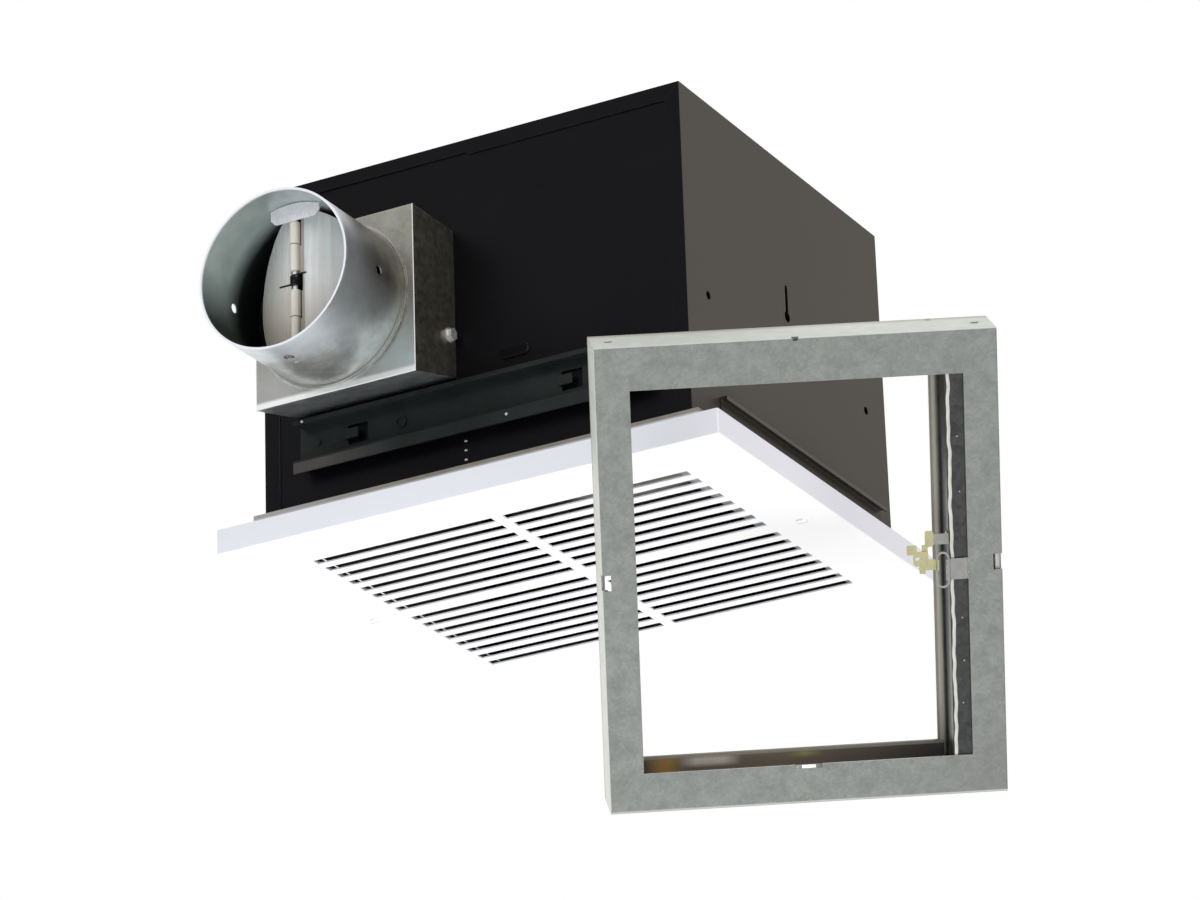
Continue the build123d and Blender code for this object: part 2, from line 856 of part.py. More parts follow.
def make_motor_shaft():
    low = wheel_top - wheel_sheet - hub_length - shaft_below
    high = motor_base + motor_core_height + motor_cap_height / 2
    shaft = rod((0, 0, low), (0, 0, high), shaft_radius)
    shaft = chamfer(shaft.edges().filter_by(GeomType.CIRCLE), shaft_radius / 4)
    middle = wheel_top - wheel_sheet - hub_length / 2
    flat = block(
        (shaft_radius - shaft_flat_depth - running_gap / 4, shaft_radius), (-shaft_radius, shaft_radius),
        (middle - hub_length, middle + hub_length / 2),
    )
    return Pos(wheel_x, wheel_y, 0) * (shaft - flat)


def motor_bolt_places():
    places = []
    for index in range(motor_bolt_count):
        angle = 2 * pi * index / motor_bolt_count + pi / 6
        places.append(
            (wheel_x + motor_bolt_circle * cos(angle), wheel_y + motor_bolt_circle * sin(angle))
        )
    return places


def make_motor_plate():
    """The motor's three-eared mounting plate."""
    base = motor_base
    disc = rod((wheel_x, wheel_y, base - motor_plate_sheet), (wheel_x, wheel_y, base), motor_radius)
    for x, y in motor_bolt_places():
        ear = rod((x, y, base - motor_plate_sheet), (x, y, base), motor_plate_ear)
        inner_x = wheel_x + (x - wheel_x) / 2
        inner_y = wheel_y + (y - wheel_y) / 2
        link = make_hull(
            (Pos(x, y) * Circle(motor_plate_ear)).edges()
            + (Pos(inner_x, inner_y) * Circle(motor_plate_ear)).edges()
        )
        disc += ear + Pos(0, 0, base - motor_plate_sheet) * extrude(link, motor_plate_sheet)
    disc -= rod((wheel_x, wheel_y, 0), (wheel_x, wheel_y, housing_height), bushing_radius + running_gap)
    for x, y in motor_bolt_places():
        disc -= rod((x, y, 0), (x, y, housing_height), motor_bolt_radius + screw_gap)
    return disc


def make_motor_shell():
    """The motor's core and body, bored for its bushings."""
    base = motor_base
    top = base + motor_core_height
    shell = rod((0, 0, base), (0, 0, top), motor_radius)
    edge = shell.edges().filter_by(GeomType.CIRCLE).sort_by(Axis.Z)[-1]
    shell = fillet(edge, motor_cap_height / 4)
    shell -= rod((0, 0, base - overrun), (0, 0, base + bushing_length), bushing_radius + running_gap)
    shell -= rod((0, 0, 0), (0, 0, housing_height), shaft_radius + seat_gap)
    return Pos(wheel_x, wheel_y, 0) * shell


def make_motor_end_cap():
    """The domed end cap, with cooling slots round the shaft bearing."""
    base = motor_base + motor_core_height
    cap = rod((0, 0, base), (0, 0, base + motor_cap_height), motor_cap_radius)
    edge = cap.edges().filter_by(GeomType.CIRCLE).sort_by(Axis.Z)[-1]
    cap = fillet(edge, motor_cap_height / 2)
    wall = sheet * 2
    cap -= rod((0, 0, base - overrun), (0, 0, base + motor_cap_height - wall), motor_cap_radius - wall)
    cap += rod((0, 0, base), (0, 0, base + motor_cap_height - sheet), bushing_radius + wall)
    cap -= rod((0, 0, base - overrun), (0, 0, base + bushing_length), bushing_radius + running_gap)
    radius = (motor_cap_radius + bushing_radius) / 2
    vent = extrude(SlotOverall(motor_vent_length, motor_vent_width), 2 * motor_cap_height)
    for index in range(motor_vent_count):
        turn = Rot(0, 0, 360 * (index + 1 / 2) / motor_vent_count)
        slot = Pos(radius, 0, base) * vent
        cap -= turn * slot
    return Pos(wheel_x, wheel_y, 0) * cap


def make_motor_bushings():
    """Sintered sleeve bearings at the two ends of the motor."""
    bottom = motor_base
    top = bottom + motor_core_height
    bore = shaft_radius + running_gap / 2
    sleeves = []
    for low in (bottom, top):
        high = low + bushing_length - running_gap
        sleeves.append(rod((wheel_x, wheel_y, low), (wheel_x, wheel_y, high), bushing_radius, bore))
    return sleeves


def make_motor_grommets():
    """Rubber grommets that carry the motor plate on the scroll."""
    low = scroll_top + sheet
    high = motor_base - motor_plate_sheet
    bore = motor_bolt_radius + screw_gap
    return [rod((x, y, low), (x, y, high), grommet_radius, bore) for x, y in motor_bolt_places()]


def make_motor_bolts():
    base = motor_base
    bolts = []
    for x, y in motor_bolt_places():
        bolt = rod((x, y, scroll_top), (x, y, base), motor_bolt_radius)
        head = Plane(origin=(x, y, base), z_dir=(0, 0, 1)) * RegularPolygon(motor_bolt_head_radius, 6)
        bolts.append(bolt + extrude(head, motor_bolt_head))
    return bolts


# Electrical pieces

def capacitor_z():
    return scroll_top + 3 * sheet + capacitor_radius


def make_capacitor():
    """The run capacitor, lying in its strap above the scroll."""
    z = capacitor_z()
    low = capacitor_y - capacitor_length / 2
    can = rod((capacitor_x, low, z), (capacitor_x, low + capacitor_length, z), capacitor_radius)
    can = fillet(can.edges().filter_by(GeomType.CIRCLE).sort_by(Axis.Y)[0], capacitor_radius / 6)
    for side in (-1, 1):
        x = capacitor_x + side * capacitor_radius / 3
        end = low + capacitor_length
        can += block(
            (x - capacitor_radius / 6, x + capacitor_radius / 6), (end, end + capacitor_radius / 2),
            (z - sheet / 2, z + sheet / 2),
        )
    return can


def make_capacitor_shelf():
    """The shelf on the front panel that carries the capacitor, and its strap."""
    z = capacitor_z()
    inner = capacitor_radius + screw_gap
    outer = inner + sheet
    half = capacitor_strap_width / 2
    y = (capacitor_y - half, capacitor_y + half)
    strap = rod((capacitor_x, y[0], z), (capacitor_x, y[1], z), outer)
    strap += block((capacitor_x - outer, capacitor_x + outer), y, (z - outer, z))
    strap -= rod((capacitor_x, y[0] - overrun, z), (capacitor_x, y[1] + overrun, z), inner)
    strap -= block(
        (capacitor_x - inner, capacitor_x + inner), (y[0] - overrun, y[1] + overrun), (z - inner, z)
    )
    shelf = block(
        (capacitor_x - 2 * outer, capacitor_x + outer),
        (panel_back_y, capacitor_y + capacitor_length / 2), (z - outer, z - inner),
    )
    back = block(
        (capacitor_x - 2 * outer, capacitor_x + outer), (panel_back_y, panel_back_y + sheet),
        (z - outer - capacitor_radius, z - inner),
    )
    return shelf + back + strap


def wiring_box_limits():
    x_high = half_length - sheet
    y_high = half_width - sheet
    z_low = scroll_top + sheet + wiring_floor_gap
    z_high = housing_height - 2 * sheet
    return (x_high - wiring_length, x_high), (y_high - wiring_width, y_high), (z_low, z_high)


def make_wiring_box():
    """The wiring compartment in the back corner, open towards the front."""
    x, y, z = wiring_box_limits()
    shell = block(x, y, z) - cover_screw_holes()
    return shell - block(
        (x[0] + sheet, x[1] - sheet), (y[0] - overrun, y[1] - sheet), (z[0] + sheet, z[1] - sheet)
    )


def make_wiring_cover():
    """The compartment's cover, with the cut-out for the receptacle."""
    x, y, z = wiring_box_limits()
    cover = block(x, (y[0] - sheet, y[0]), z)
    middle_x = (x[0] + x[1]) / 2
    middle_z = (z[0] + z[1]) / 2
    return cover - block(
        (middle_x - receptacle_length / 2, middle_x + receptacle_length / 2),
        (y[0] - overrun, y[0] + overrun),
        (middle_z - receptacle_height / 2, middle_z + receptacle_height / 2),
    )


def make_receptacle():
    """The socket that the motor lead plugs into."""
    x, y, z = wiring_box_limits()
    middle_x = (x[0] + x[1]) / 2
    middle_z = (z[0] + z[1]) / 2
    gap = screw_gap
    body = block(
        (middle_x - receptacle_length / 2 + gap, middle_x + receptacle_length / 2 - gap),
        (y[0], y[0] + receptacle_depth),
        (middle_z - receptacle_height / 2 + gap, middle_z + receptacle_height / 2 - gap),
    )
    rim = block(
        (middle_x - receptacle_length / 2 - sheet, middle_x + receptacle_length / 2 + sheet),
        (y[0], y[0] + sheet),
        (middle_z - receptacle_height / 2 - sheet, middle_z + receptacle_height / 2 + sheet),
    )
    body += rim
    return body


def make_motor_plug():
    """The motor's plug, seated on the receptacle."""
    x, y, z = wiring_box_limits()
    middle_x = (x[0] + x[1]) / 2
    middle_z = (z[0] + z[1]) / 2
    body = block(
        (middle_x - plug_length / 2, middle_x + plug_length / 2), (y[0] - plug_depth, y[0]),
        (middle_z - plug_height / 2, middle_z + plug_height / 2),
    )
    far = body.edges().filter_by(Axis.X).sort_by(Axis.Y)[:2]
    return fillet(far, plug_height / 4)


def make_blower_feet():
    """Angle feet that carry the lower cheek of the scroll on the side walls."""
    z = scroll_bottom - sheet
    right_x = half_length - sheet
    y = (wheel_y - foot_width / 2, wheel_y + foot_width / 2)
    reach_right = scroll_point(scroll_radius(0)[1] - pi, 0)[0]
    right = block((reach_right - foot_reach / 2, right_x), y, (z - sheet, z))
    right += block((right_x - sheet, right_x), y, (z - foot_reach, z))
    reach_left = outlet_left + foot_reach / 2
    left = block((-right_x, reach_left), y, (z - sheet, z))
    left += block((-right_x, -right_x + sheet), y, (z - foot_reach, z))
    return [right, left]


# Grille

def slot_centres():
    """The middle of each row of slots across the grille: two groups with a plain band between."""
    group = (slot_field_width - slot_group_gap) / 2
    pitch = (group - slot_width) / (slot_rows - 1)
    first = slot_group_gap / 2 + slot_width / 2
    rows = [first + index * pitch for index in range(slot_rows)]
    both = [-row for row in reversed(rows)] + rows
    return [row + slot_field_shift for row in both]


def make_grille():
    """The white slotted cover: a shallow tray with two columns of slots."""
    half_x = grille_length / 2
    half_y = grille_width / 2
    tray = block((-half_x, half_x), (-half_y, half_y), (-grille_depth, 0))
    corners = tray.edges().filter_by(Axis.Z)
    tray = fillet(corners, grille_corner_radius)
    rim = tray.faces().sort_by(Axis.Z)[0].edges()
    tray = fillet(rim, grille_corner_radius / 2)
    tray -= block(
        (-half_x + sheet, half_x - sheet), (-half_y + sheet, half_y - sheet), (-grille_depth + sheet, overrun)
    )
    length = (slot_field_length - slot_centre_bar) / 2
    x = slot_centre_bar / 2 + length / 2
    slots = []
    for y in slot_centres():
        for side in (-1, 1):
            slots.append(
                block(
                    (side * x - length / 2, side * x + length / 2), (y - slot_width / 2, y + slot_width / 2),
                    (-grille_depth - overrun, -grille_depth + overrun),
                )
            )
    tray -= slots
    for side in (-1, 1):
        hole = side * grille_screw_x
        tray -= rod(
            (hole, 0, -grille_depth - overrun), (hole, 0, -grille_depth + overrun),
            grille_screw_radius + screw_gap,
        )
    return tray


def make_grille_screws():
    """The two screws that hold the grille to the ceiling flange."""
    screws = []
    for side in (-1, 1):
        x = side * grille_screw_x
        low = -grille_depth - grille_screw_head
        screw = rod((x, 0, low), (x, 0, -grille_depth), grille_screw_head_radius)
        lower = screw.edges().filter_by(GeomType.CIRCLE).sort_by(Axis.Z)[0]
        screw = fillet(lower, grille_screw_head / 2)
        screw += rod((x, 0, -grille_depth), (x, 0, grille_screw_rise), grille_screw_radius)
        screw -= block(
            (x - grille_screw_head_radius, x + grille_screw_head_radius), (-sheet / 2, sheet / 2),
            (-grille_depth - 2 * grille_screw_head, -grille_depth - grille_screw_head / 2),
        )
        screws.append(screw)
    return screws


def make_grille_clips():
    """Spring nuts on the ceiling flange, one for each grille screw."""
    clips = []
    low = half_length + sheet + running_gap
    high = half_length + strip_reach - sheet - running_gap
    for side in (-1, 1):
        x = side * grille_screw_x
        edges = sorted((side * low, side * high))
        clip = block(
            edges, (-grille_clip_width / 2, grille_clip_width / 2), (sheet, sheet + grille_clip_sheet)
        )
        clip -= rod((x, 0, 0), (x, 0, grille_screw_rise), grille_screw_radius + running_gap)
        clips.append(clip)
    return clips


# Ceiling damper frame

def bent(shape, axis, *points):
    """Rounds the edges along an axis that pass nearest to each point."""
    for point in points:
        edge = shape.edges().filter_by(axis).sort_by_distance(point)[0]
        shape = fillet(edge, frame_bend)
    return shape


def channel(flange, length):
    """A channel along X with its web on top: front flange at y = 0, rear flange at the full depth."""
    t = frame_sheet
    half = length / 2
    shape = block((-half, half), (0, frame_depth), (-t, 0))
    shape += block((-half, half), (0, t), (-flange, 0))
    shape += block((-half, half), (frame_depth - t, frame_depth), (-flange, 0))
    return bent(shape, Axis.X, (0, 0, 0), (0, frame_depth, 0))


def mitre(shape, length, first, second):
    """Cuts both ends of a channel so that its flanges meet the neighbours' corner to corner."""
    half = length / 2
    deep = frame_pocket_flange + overrun
    for side, width in ((-1, first), (1, second)):
        cut = plate(
            Plane.XZ.offset(overrun),
            [
                (side * (half - width[0] * deep / width[1]), -deep),
                (side * half, 0),
                (side * (half + overrun), 0),
                (side * (half + overrun), -deep),
            ],
            -frame_depth - 2 * overrun,
        )
        shape -= cut
    return shape


def make_frame_rail_top():
    """The top channel, with its small round notch and the hole behind it."""
    rail = channel(frame_top_flange, frame_width)
    rail = mitre(
        rail, frame_width, (frame_side_flange, frame_top_flange), (frame_side_flange, frame_top_flange)
    )
    rail = Pos(0, 0, frame_height / 2) * rail
    z = frame_height / 2
    rail -= rod((0, -overrun, z), (0, overrun, z), top_notch_radius)
    rear_z = z - frame_notch_drop
    rear = (frame_notch_shift, frame_depth - overrun, rear_z)
    return rail - rod(rear, (frame_notch_shift, frame_depth + overrun, rear_z), top_notch_radius)


def make_frame_rail_bottom():
    """The bottom channel, with a slot on its inner edge and a small hole near its outer edge."""
    rail = channel(frame_bottom_flange, frame_width)
    rail = mitre(
        rail, frame_width, (frame_side_flange, frame_bottom_flange), (frame_side_flange, frame_bottom_flange)
    )
    rail = Pos(0, 0, -frame_height / 2) * mirror(rail, Plane.XY)
    edge = -frame_height / 2 + frame_bottom_flange
    rail -= block(
        (-bottom_slot_length / 2, bottom_slot_length / 2), (-overrun, overrun),
        (edge - bottom_slot_width, edge + overrun),
    )
    z = -frame_height / 2 + bottom_hole_inset
    return rail - rod((0, -overrun, z), (0, overrun, z), bottom_small_hole)


def side_rail(rear):
    """A side channel in its upright place on the right, without its notch."""
    t = frame_sheet
    x = frame_width / 2
    half = frame_height / 2 - t
    shape = block((x - t, x), (t, frame_depth - t), (-half, half))
    low = -frame_height / 2
    high = frame_height / 2
    points = [
        (x, low), (x, high), (x - frame_side_flange, high - frame_top_flange),
        (x - frame_side_flange, low + frame_bottom_flange),
    ]
    shape += plate(Plane.XZ, points, -t)
    shape += plate(Plane.XZ.offset(-frame_depth + t), points, -t)
    shape += block(
        (x - rear, x - frame_side_flange + t), (frame_depth - t, frame_depth),
        (low + frame_bottom_flange, high - frame_top_flange),
    )
    corner = block((x - overrun, x + overrun), (-overrun, frame_depth + overrun), (half, high + overrun))
    shape -= [corner, mirror(corner, Plane.XY)]
    shape = bent(shape, Axis.Z, (x, 0, 0), (x, frame_depth, 0))
    notch = block(
        (x - frame_notch_width, x + overrun), (-overrun, frame_notch_width),
        (-frame_notch_height / 2, frame_notch_height / 2),
    )
    return shape - notch


def make_frame_rail_right():
    """The right channel, whose wide rear flange makes the pocket for the folded curtain."""
    return side_rail(frame_pocket_flange)


def make_frame_rail_left():
    """The left channel, which the curtain closes against, with an opening behind its notch."""
    rail = mirror(side_rail(frame_side_flange), Plane.YZ)
    left = frame_notch_shift - frame_width / 2
    half = frame_notch_height / 2
    return rail - block(
        (left, left + frame_notch_width), (frame_depth - overrun, frame_depth + overrun),
        (-frame_notch_drop - half, -frame_notch_drop + half),
    )


def make_frame_rivets():
    """Rivets that join the corners, on the outside of the top and bottom channels."""
    rivets = []
    x = frame_width / 2 - frame_side_flange / 2
    y = frame_depth / 2
    for side in (-1, 1):
        for end in (-1, 1):
            z = end * frame_height / 2
            rivets.append(
                rod((side * x, y, z), (side * x, y, z + end * corner_rivet_rise), corner_rivet_radius)
            )
    return rivets


# Folding curtain

def curtain_hinge(index):
    """The hinge line of the folded curtain, counted from the fixed strip."""
    return Vector(curtain_x - index * slat_pitch, hook_front + (slat_span if index % 2 else 0))


def hook_face(centre, towards, away):
    """A hook round a hinge line, and the point where its leaf leaves it.

    The leaf runs towards a point, offset to the side of the away direction.
    """
    along = (towards - centre).normalized()
    side = Vector(-along.Y, along.X)
    if side.dot(away) < 0:
        side = -side
    middle = (hook_inner_radius + hook_outer_radius) / 2

    def at(radius, angle):
        turn = radians(angle)
        return centre + along * (radius * cos(turn)) - side * (radius * sin(turn))

    stop = 270
    half = (hook_start_angle + stop) / 2
    inner = ThreePointArc(
        at(hook_inner_radius, hook_start_angle), at(hook_inner_radius, half), at(hook_inner_radius, stop)
    )
    outer = ThreePointArc(
        at(hook_outer_radius, stop), at(hook_outer_radius, half), at(hook_outer_radius, hook_start_angle)
    )
    ring = make_face([inner, Line(inner @ 1, outer @ 0), outer, Line(outer @ 1, inner @ 0)])
    return ring, centre + side * middle


def leaf_face(start, end, width):
    """A straight strip between two points."""
    along = (end - start).normalized()
    across = Vector(-along.Y, along.X) * (width / 2)
    corners = [start + across, end + across, end - across, start - across]
    return make_face(Polyline(*corners, close=True))


def make_slat(index):
    """One curtain slat: a bead on the hinge line before it and a hook on the one after it."""
    first = curtain_hinge(index - 1)
    last = curtain_hinge(index)
    hook, root = hook_face(last, first, Vector(1, 0))
    bead = Pos(first.X, first.Y) * Circle(bead_radius)
    face = hook + bead + leaf_face(first, root, slat_sheet)
    return Pos(0, 0, -curtain_height / 2) * extrude(face, curtain_height)


def make_curtain_anchor():
    """The fixed strip on the right channel that the first slat hooks into."""
    first = curtain_hinge(0)
    hook, root = hook_face(first, first + Vector(0, slat_span), Vector(1, 0))
    thick = hook_outer_radius - hook_inner_radius
    strip = leaf_face(root, root + Vector(0, anchor_length), thick)
    return Pos(0, 0, -curtain_height / 2) * extrude(hook + strip, curtain_height)


def lead_tip():
    last = curtain_hinge(slat_count)
    return last + Vector(-slat_pitch / 2, lead_blade_depth)


def lead_wall_x():
    """The left face of the lead blade's front wall, clear of the last hook."""
    last = curtain_hinge(slat_count)
    return last.X - hook_outer_radius - lead_front_gap - slat_sheet


def make_lead_blade():
    """The leading blade: a bead in the last hook, a leaf with a hem, and a front strip round the hook."""
    last = curtain_hinge(slat_count)
    tip = lead_tip()
    face = Pos(last.X, last.Y) * Circle(bead_radius) + leaf_face(last, tip, slat_sheet)
    face += leaf_face(tip, tip - Vector(lead_blade_hem, 0), slat_sheet)
    left = lead_wall_x()
    front = last.Y - hook_outer_radius - lead_front_gap
    bridge_y = last.Y + lead_bridge
    face += make_face(
        Polyline(
            (left, front - slat_sheet), (left + lead_front_width, front - slat_sheet),
            (left + lead_front_width, front), (left + slat_sheet, front), (left + slat_sheet, bridge_y),
            (last.X, bridge_y), (last.X, bridge_y + slat_sheet), (left, bridge_y + slat_sheet), close=True,
        )
    )
    return Pos(0, 0, -curtain_height / 2) * extrude(face, curtain_height)


# Fusible link

def curl_face(x, thickness, side):
    """A strip end rolled round one leg of the wire ring, entered from the given side."""
    y = -ring_forward
    inner = ring_wire_radius + ring_clearance
    outer = inner + thickness
    ring = Pos(x, y) * (Circle(outer) - Circle(inner))
    reach = sorted((x, x + side * 2 * outer))
    return ring - block(reach, (y - 2 * outer, y), (-outer, outer))


def make_link_strap():
    """The strap from behind the right flange, joggled forward and rolled round the ring."""
    t = strap_sheet
    edge = flange_edge
    face = make_face(
        Polyline(
            (ring_right, link_plate_y), (edge - 4 * t, link_plate_y), (edge - 2 * t, frame_sheet),
            (edge + strap_behind_flange, frame_sheet), (edge + strap_behind_flange, frame_sheet + t),
            (edge - 2 * t, frame_sheet + t), (edge - 4 * t, link_plate_y + t), (ring_right, link_plate_y + t),
            close=True,
        )
    )
    face = face + curl_face(ring_right, t, 1)
    return Pos(0, 0, strap_z - strap_width / 2) * extrude(face, strap_width)


def make_link_ring():
    """The oval wire ring between the strap and the link."""
    y = -ring_forward
    width = ring_right - ring_left
    straight = ring_height - width - 2 * ring_wire_radius
    path = Wire(
        [
            Edge.make_line((ring_left, y, -straight / 2), (ring_left, y, straight / 2)),
            Edge.make_three_point_arc(
                (ring_left, y, straight / 2), (ring_left + width / 2, y, straight / 2 + width / 2),
                (ring_right, y, straight / 2),
            ),
            Edge.make_line((ring_right, y, straight / 2), (ring_right, y, -straight / 2)),
            Edge.make_three_point_arc(
                (ring_right, y, -straight / 2), (ring_left + width / 2, y, -straight / 2 - width / 2),
                (ring_left, y, -straight / 2),
            ),
        ]
    )
    section = Plane(origin=(ring_left, y, -straight / 2), z_dir=(0, 0, 1)) * Circle(ring_wire_radius)
    return Pos(0, 0, strap_z) * sweep(section, path=path)


def make_link_plate_fixed():
    """The front half of the fusible link, with its tip and tab, hooked over the ring by its neck."""
    t = link_sheet
    left = flange_edge - link_left_inset
    right = flange_edge - link_right_inset
    tab = flange_edge - link_tab_inset
    y = (link_plate_y, link_plate_y + t)
    body = block((left, right), y, (link_bottom, link_top))
    body = chamfer(body.edges().filter_by(Axis.Y), t * 2)
    tip_left = left - link_tip_overhang
    tip = block((tip_left, tip_left + link_tip_width), y, (link_top - 3 * t, link_tip_top))
    tip = chamfer(tip.edges().filter_by(Axis.Y), t)
    body += tip
    body += block((tab, tab + link_tab_width), y, (link_tab_bottom, link_bottom + t))
    hole_x = left + 4 * t
    hole_z = (link_bottom + link_top) / 2
    body -= rod((hole_x, y[0] - overrun, hole_z), (hole_x, y[1] + overrun, hole_z), link_hole_radius)
    neck_low = link_bottom - link_neck_drop
    neck = block((right - 4 * t, ring_left), y, (neck_low, neck_low + link_neck_width))
    curl = Pos(0, 0, neck_low) * extrude(curl_face(ring_left, t, -1), link_neck_width)
    return body + neck + curl


def moving_plate_y():
    """The front of the moving half, behind the fixed half and the solder between them."""
    return link_plate_y + link_sheet + seat_gap


def make_link_plate_moving():
    """The rear half of the link with its rounded hook, which leaves with the curtain."""
    y = (moving_plate_y(), moving_plate_y() + link_sheet)
    right = flange_edge - link_right_inset
    hook_left = flange_edge - link_hook_left_inset
    hook_right = flange_edge - link_hook_right_inset
    arm_top = link_hook_bottom + 2 * link_sheet
    arm = block((flange_edge - link_arm_inset, right), y, (link_arm_bottom, arm_top))
    hook = block((hook_left, hook_right), y, (link_hook_bottom, link_hook_top))
    hook = fillet(hook.edges().filter_by(Axis.Y), link_hook_radius)
    return arm + hook


def make_link_clip():
    """The clip that joins the moving half of the link to the leading blade."""
    t = clip_sheet
    y = moving_plate_y() + link_sheet
    x = lead_wall_x()
    z = (clip_bottom, clip_top)
    clip = block((flange_edge - link_hook_left_inset + 2 * t, x), (y, y + t), z)
    clip += block((x - t, x), (y, y + clip_tail), z)
    return clip


# Every node and the function that makes it. The ceiling damper's nodes are made in its own frame.

def fan_nodes():
    return {
        "housing_wrap": make_housing_wrap(),
        "front_panel": make_front_panel(),
        "top_cover": make_top_cover(),
        "housing_screws": make_housing_screws(),
        "ceiling_flange": make_ceiling_flange(),
        "side_angles": make_side_angles(),
        "front_hanger_rail": make_hanger_rail(),
        "rear_hanger_rail": Rot(0, 0, 180) * make_hanger_rail(),
        "duct_box": make_duct_box(),
        "duct_collar": make_duct_collar(),
        "duct_box_screws": make_duct_box_screws(),
        "damper_rod": make_damper_rod(),
        "damper_spring": make_damper_spring(),
        "damper_bracket": make_damper_bracket(),
        "flap_left": make_flap(-1),
        "flap_right": make_flap(1),
        "scroll_wall": make_scroll_wall(),
        "scroll_bottom_plate": make_scroll_bottom_plate(),
        "scroll_top_plate": make_scroll_top_plate(),
        "inlet_ring": make_inlet_ring(),
        "blower_feet": make_blower_feet(),
        "blower_wheel": make_blower_wheel(),
        "wheel_set_screw": make_wheel_set_screw(),
        "motor_shaft": make_motor_shaft(),
        "motor_plate": make_motor_plate(),
        "motor_shell": make_motor_shell(),
        "motor_end_cap": make_motor_end_cap(),
        "motor_bushings": make_motor_bushings(),
        "motor_grommets": make_motor_grommets(),
        "motor_bolts": make_motor_bolts(),
        "capacitor": make_capacitor(),
        "capacitor_shelf": make_capacitor_shelf(),
        "wiring_box": make_wiring_box(),
        "wiring_cover": make_wiring_cover(),
        "receptacle": make_receptacle(),
        "motor_plug": make_motor_plug(),
        "grille": make_grille(),
        "grille_screws": make_grille_screws(),
        "grille_clips": make_grille_clips(),
    }


def ceiling_damper_nodes():
    nodes = {
        "frame_rail_top": make_frame_rail_top(),
        "frame_rail_bottom": make_frame_rail_bottom(),
        "frame_rail_left": make_frame_rail_left(),
        "frame_rail_right": make_frame_rail_right(),
        "frame_rivets": make_frame_rivets(),
        "curtain_anchor": make_curtain_anchor(),
        "lead_blade": make_lead_blade(),
        "link_strap": make_link_strap(),
        "link_ring": make_link_ring(),
        "link_plate_fixed": make_link_plate_fixed(),
        "link_plate_moving": make_link_plate_moving(),
        "link_clip": make_link_clip(),
    }
    for index in range(1, slat_count + 1):
        nodes[f"curtain_slat_{index}"] = make_slat(index)
    return nodes


def save(name, shape, pose=None):
    """Writes one node. A node of several pieces is written as a group of separate solids."""
    solids = []
    for piece in shape if isinstance(shape, list) else [shape]:
        placed = pose * piece if pose else piece
        solids.extend(placed.solids())
    whole = solids[0] if len(solids) == 1 else Compound(children=solids)
    export_step(whole, f"parts/{name}.step")


if __name__ == "__main__":
    for node, shape in fan_nodes().items():
        save(node, shape)
    for node, shape in ceiling_damper_nodes().items():
        save(node, shape, frame_pose)
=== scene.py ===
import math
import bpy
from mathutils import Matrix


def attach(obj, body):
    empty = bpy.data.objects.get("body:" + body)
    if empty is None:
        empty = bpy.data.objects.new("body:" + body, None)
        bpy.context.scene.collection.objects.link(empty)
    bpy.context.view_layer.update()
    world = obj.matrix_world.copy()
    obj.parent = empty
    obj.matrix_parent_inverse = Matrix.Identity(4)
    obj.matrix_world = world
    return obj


bl_info = {
    "name": "Ceiling Exhaust Fan",
    "version": (1, 0, 0),
    "blender": (4, 5, 0),
    "location": "View3D > Sidebar > Exhaust Fan",
    "description": "Finishes and small trim for a ceiling exhaust fan with its ceiling damper",
    "category": "Object",
}

import bmesh
import bpy
from bpy.props import FloatProperty, FloatVectorProperty, IntProperty, PointerProperty
from mathutils import Euler, Matrix, Vector

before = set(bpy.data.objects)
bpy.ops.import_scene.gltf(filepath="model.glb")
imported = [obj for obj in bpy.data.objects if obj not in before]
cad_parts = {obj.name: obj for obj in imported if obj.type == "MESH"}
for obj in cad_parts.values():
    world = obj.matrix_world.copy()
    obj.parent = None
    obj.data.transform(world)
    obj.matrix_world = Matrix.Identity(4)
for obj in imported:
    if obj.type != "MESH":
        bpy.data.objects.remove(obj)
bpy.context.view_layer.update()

MM = 0.001

# Directions of the whole object
RIGHT = (1.0, 0.0, 0.0)
LEFT = (-1.0, 0.0, 0.0)
BACK = (0.0, 1.0, 0.0)
FRONT = (0.0, -1.0, 0.0)
UP = (0.0, 0.0, 1.0)
DOWN = (0.0, 0.0, -1.0)

# The collar's axis and the flap rod, in millimetres
COLLAR_X = -67.6
COLLAR_Z = 109.1
ROD_Y = -214.5

# The ceiling damper's own frame
FRAME_ORIGIN = Vector((227.2, -166.5, -120.2)) * MM
FRAME_TURN = (
    Matrix.Rotation(math.radians(34.09), 3, "Z") @ Matrix.Rotation(math.radians(33.82), 3, "X")
    @ Matrix.Rotation(math.radians(-3.43), 3, "Y")
)
FRAME_RIGHT, FRAME_BACK, FRAME_UP = (FRAME_TURN.col[axis].copy() for axis in range(3))
FRAME_LEFT = -FRAME_RIGHT

# The lower edges that catch the light
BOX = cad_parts["duct_box"]
BOX_FOOT = min((BOX.matrix_world @ Vector(corner)).z for corner in BOX.bound_box)
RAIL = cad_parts["frame_rail_bottom"]
RAIL_FOOT = min((RAIL.matrix_world @ vertex.co).dot(FRAME_UP) for vertex in RAIL.data.vertices)


def framed(direction, *depths):
    """Depths in millimetres along one of the ceiling damper's axes, as depths in the whole object."""
    start = FRAME_ORIGIN.dot(direction)
    return [start + depth * MM for depth in depths]


def in_frame(x, y, z):
    """A point of the ceiling damper's own frame, in millimetres, as a place in the whole object."""
    return FRAME_ORIGIN + FRAME_TURN @ Vector((x, y, z)) * MM


# Properties

def colour_property(name, description, default):
    return FloatVectorProperty(
        name=name, description=description, default=default, size=3, min=0.0, max=1.0, subtype="COLOR"
    )


def length_property(name, description, default):
    return FloatProperty(
        name=name, description=description, default=default, unit="LENGTH", subtype="DISTANCE"
    )


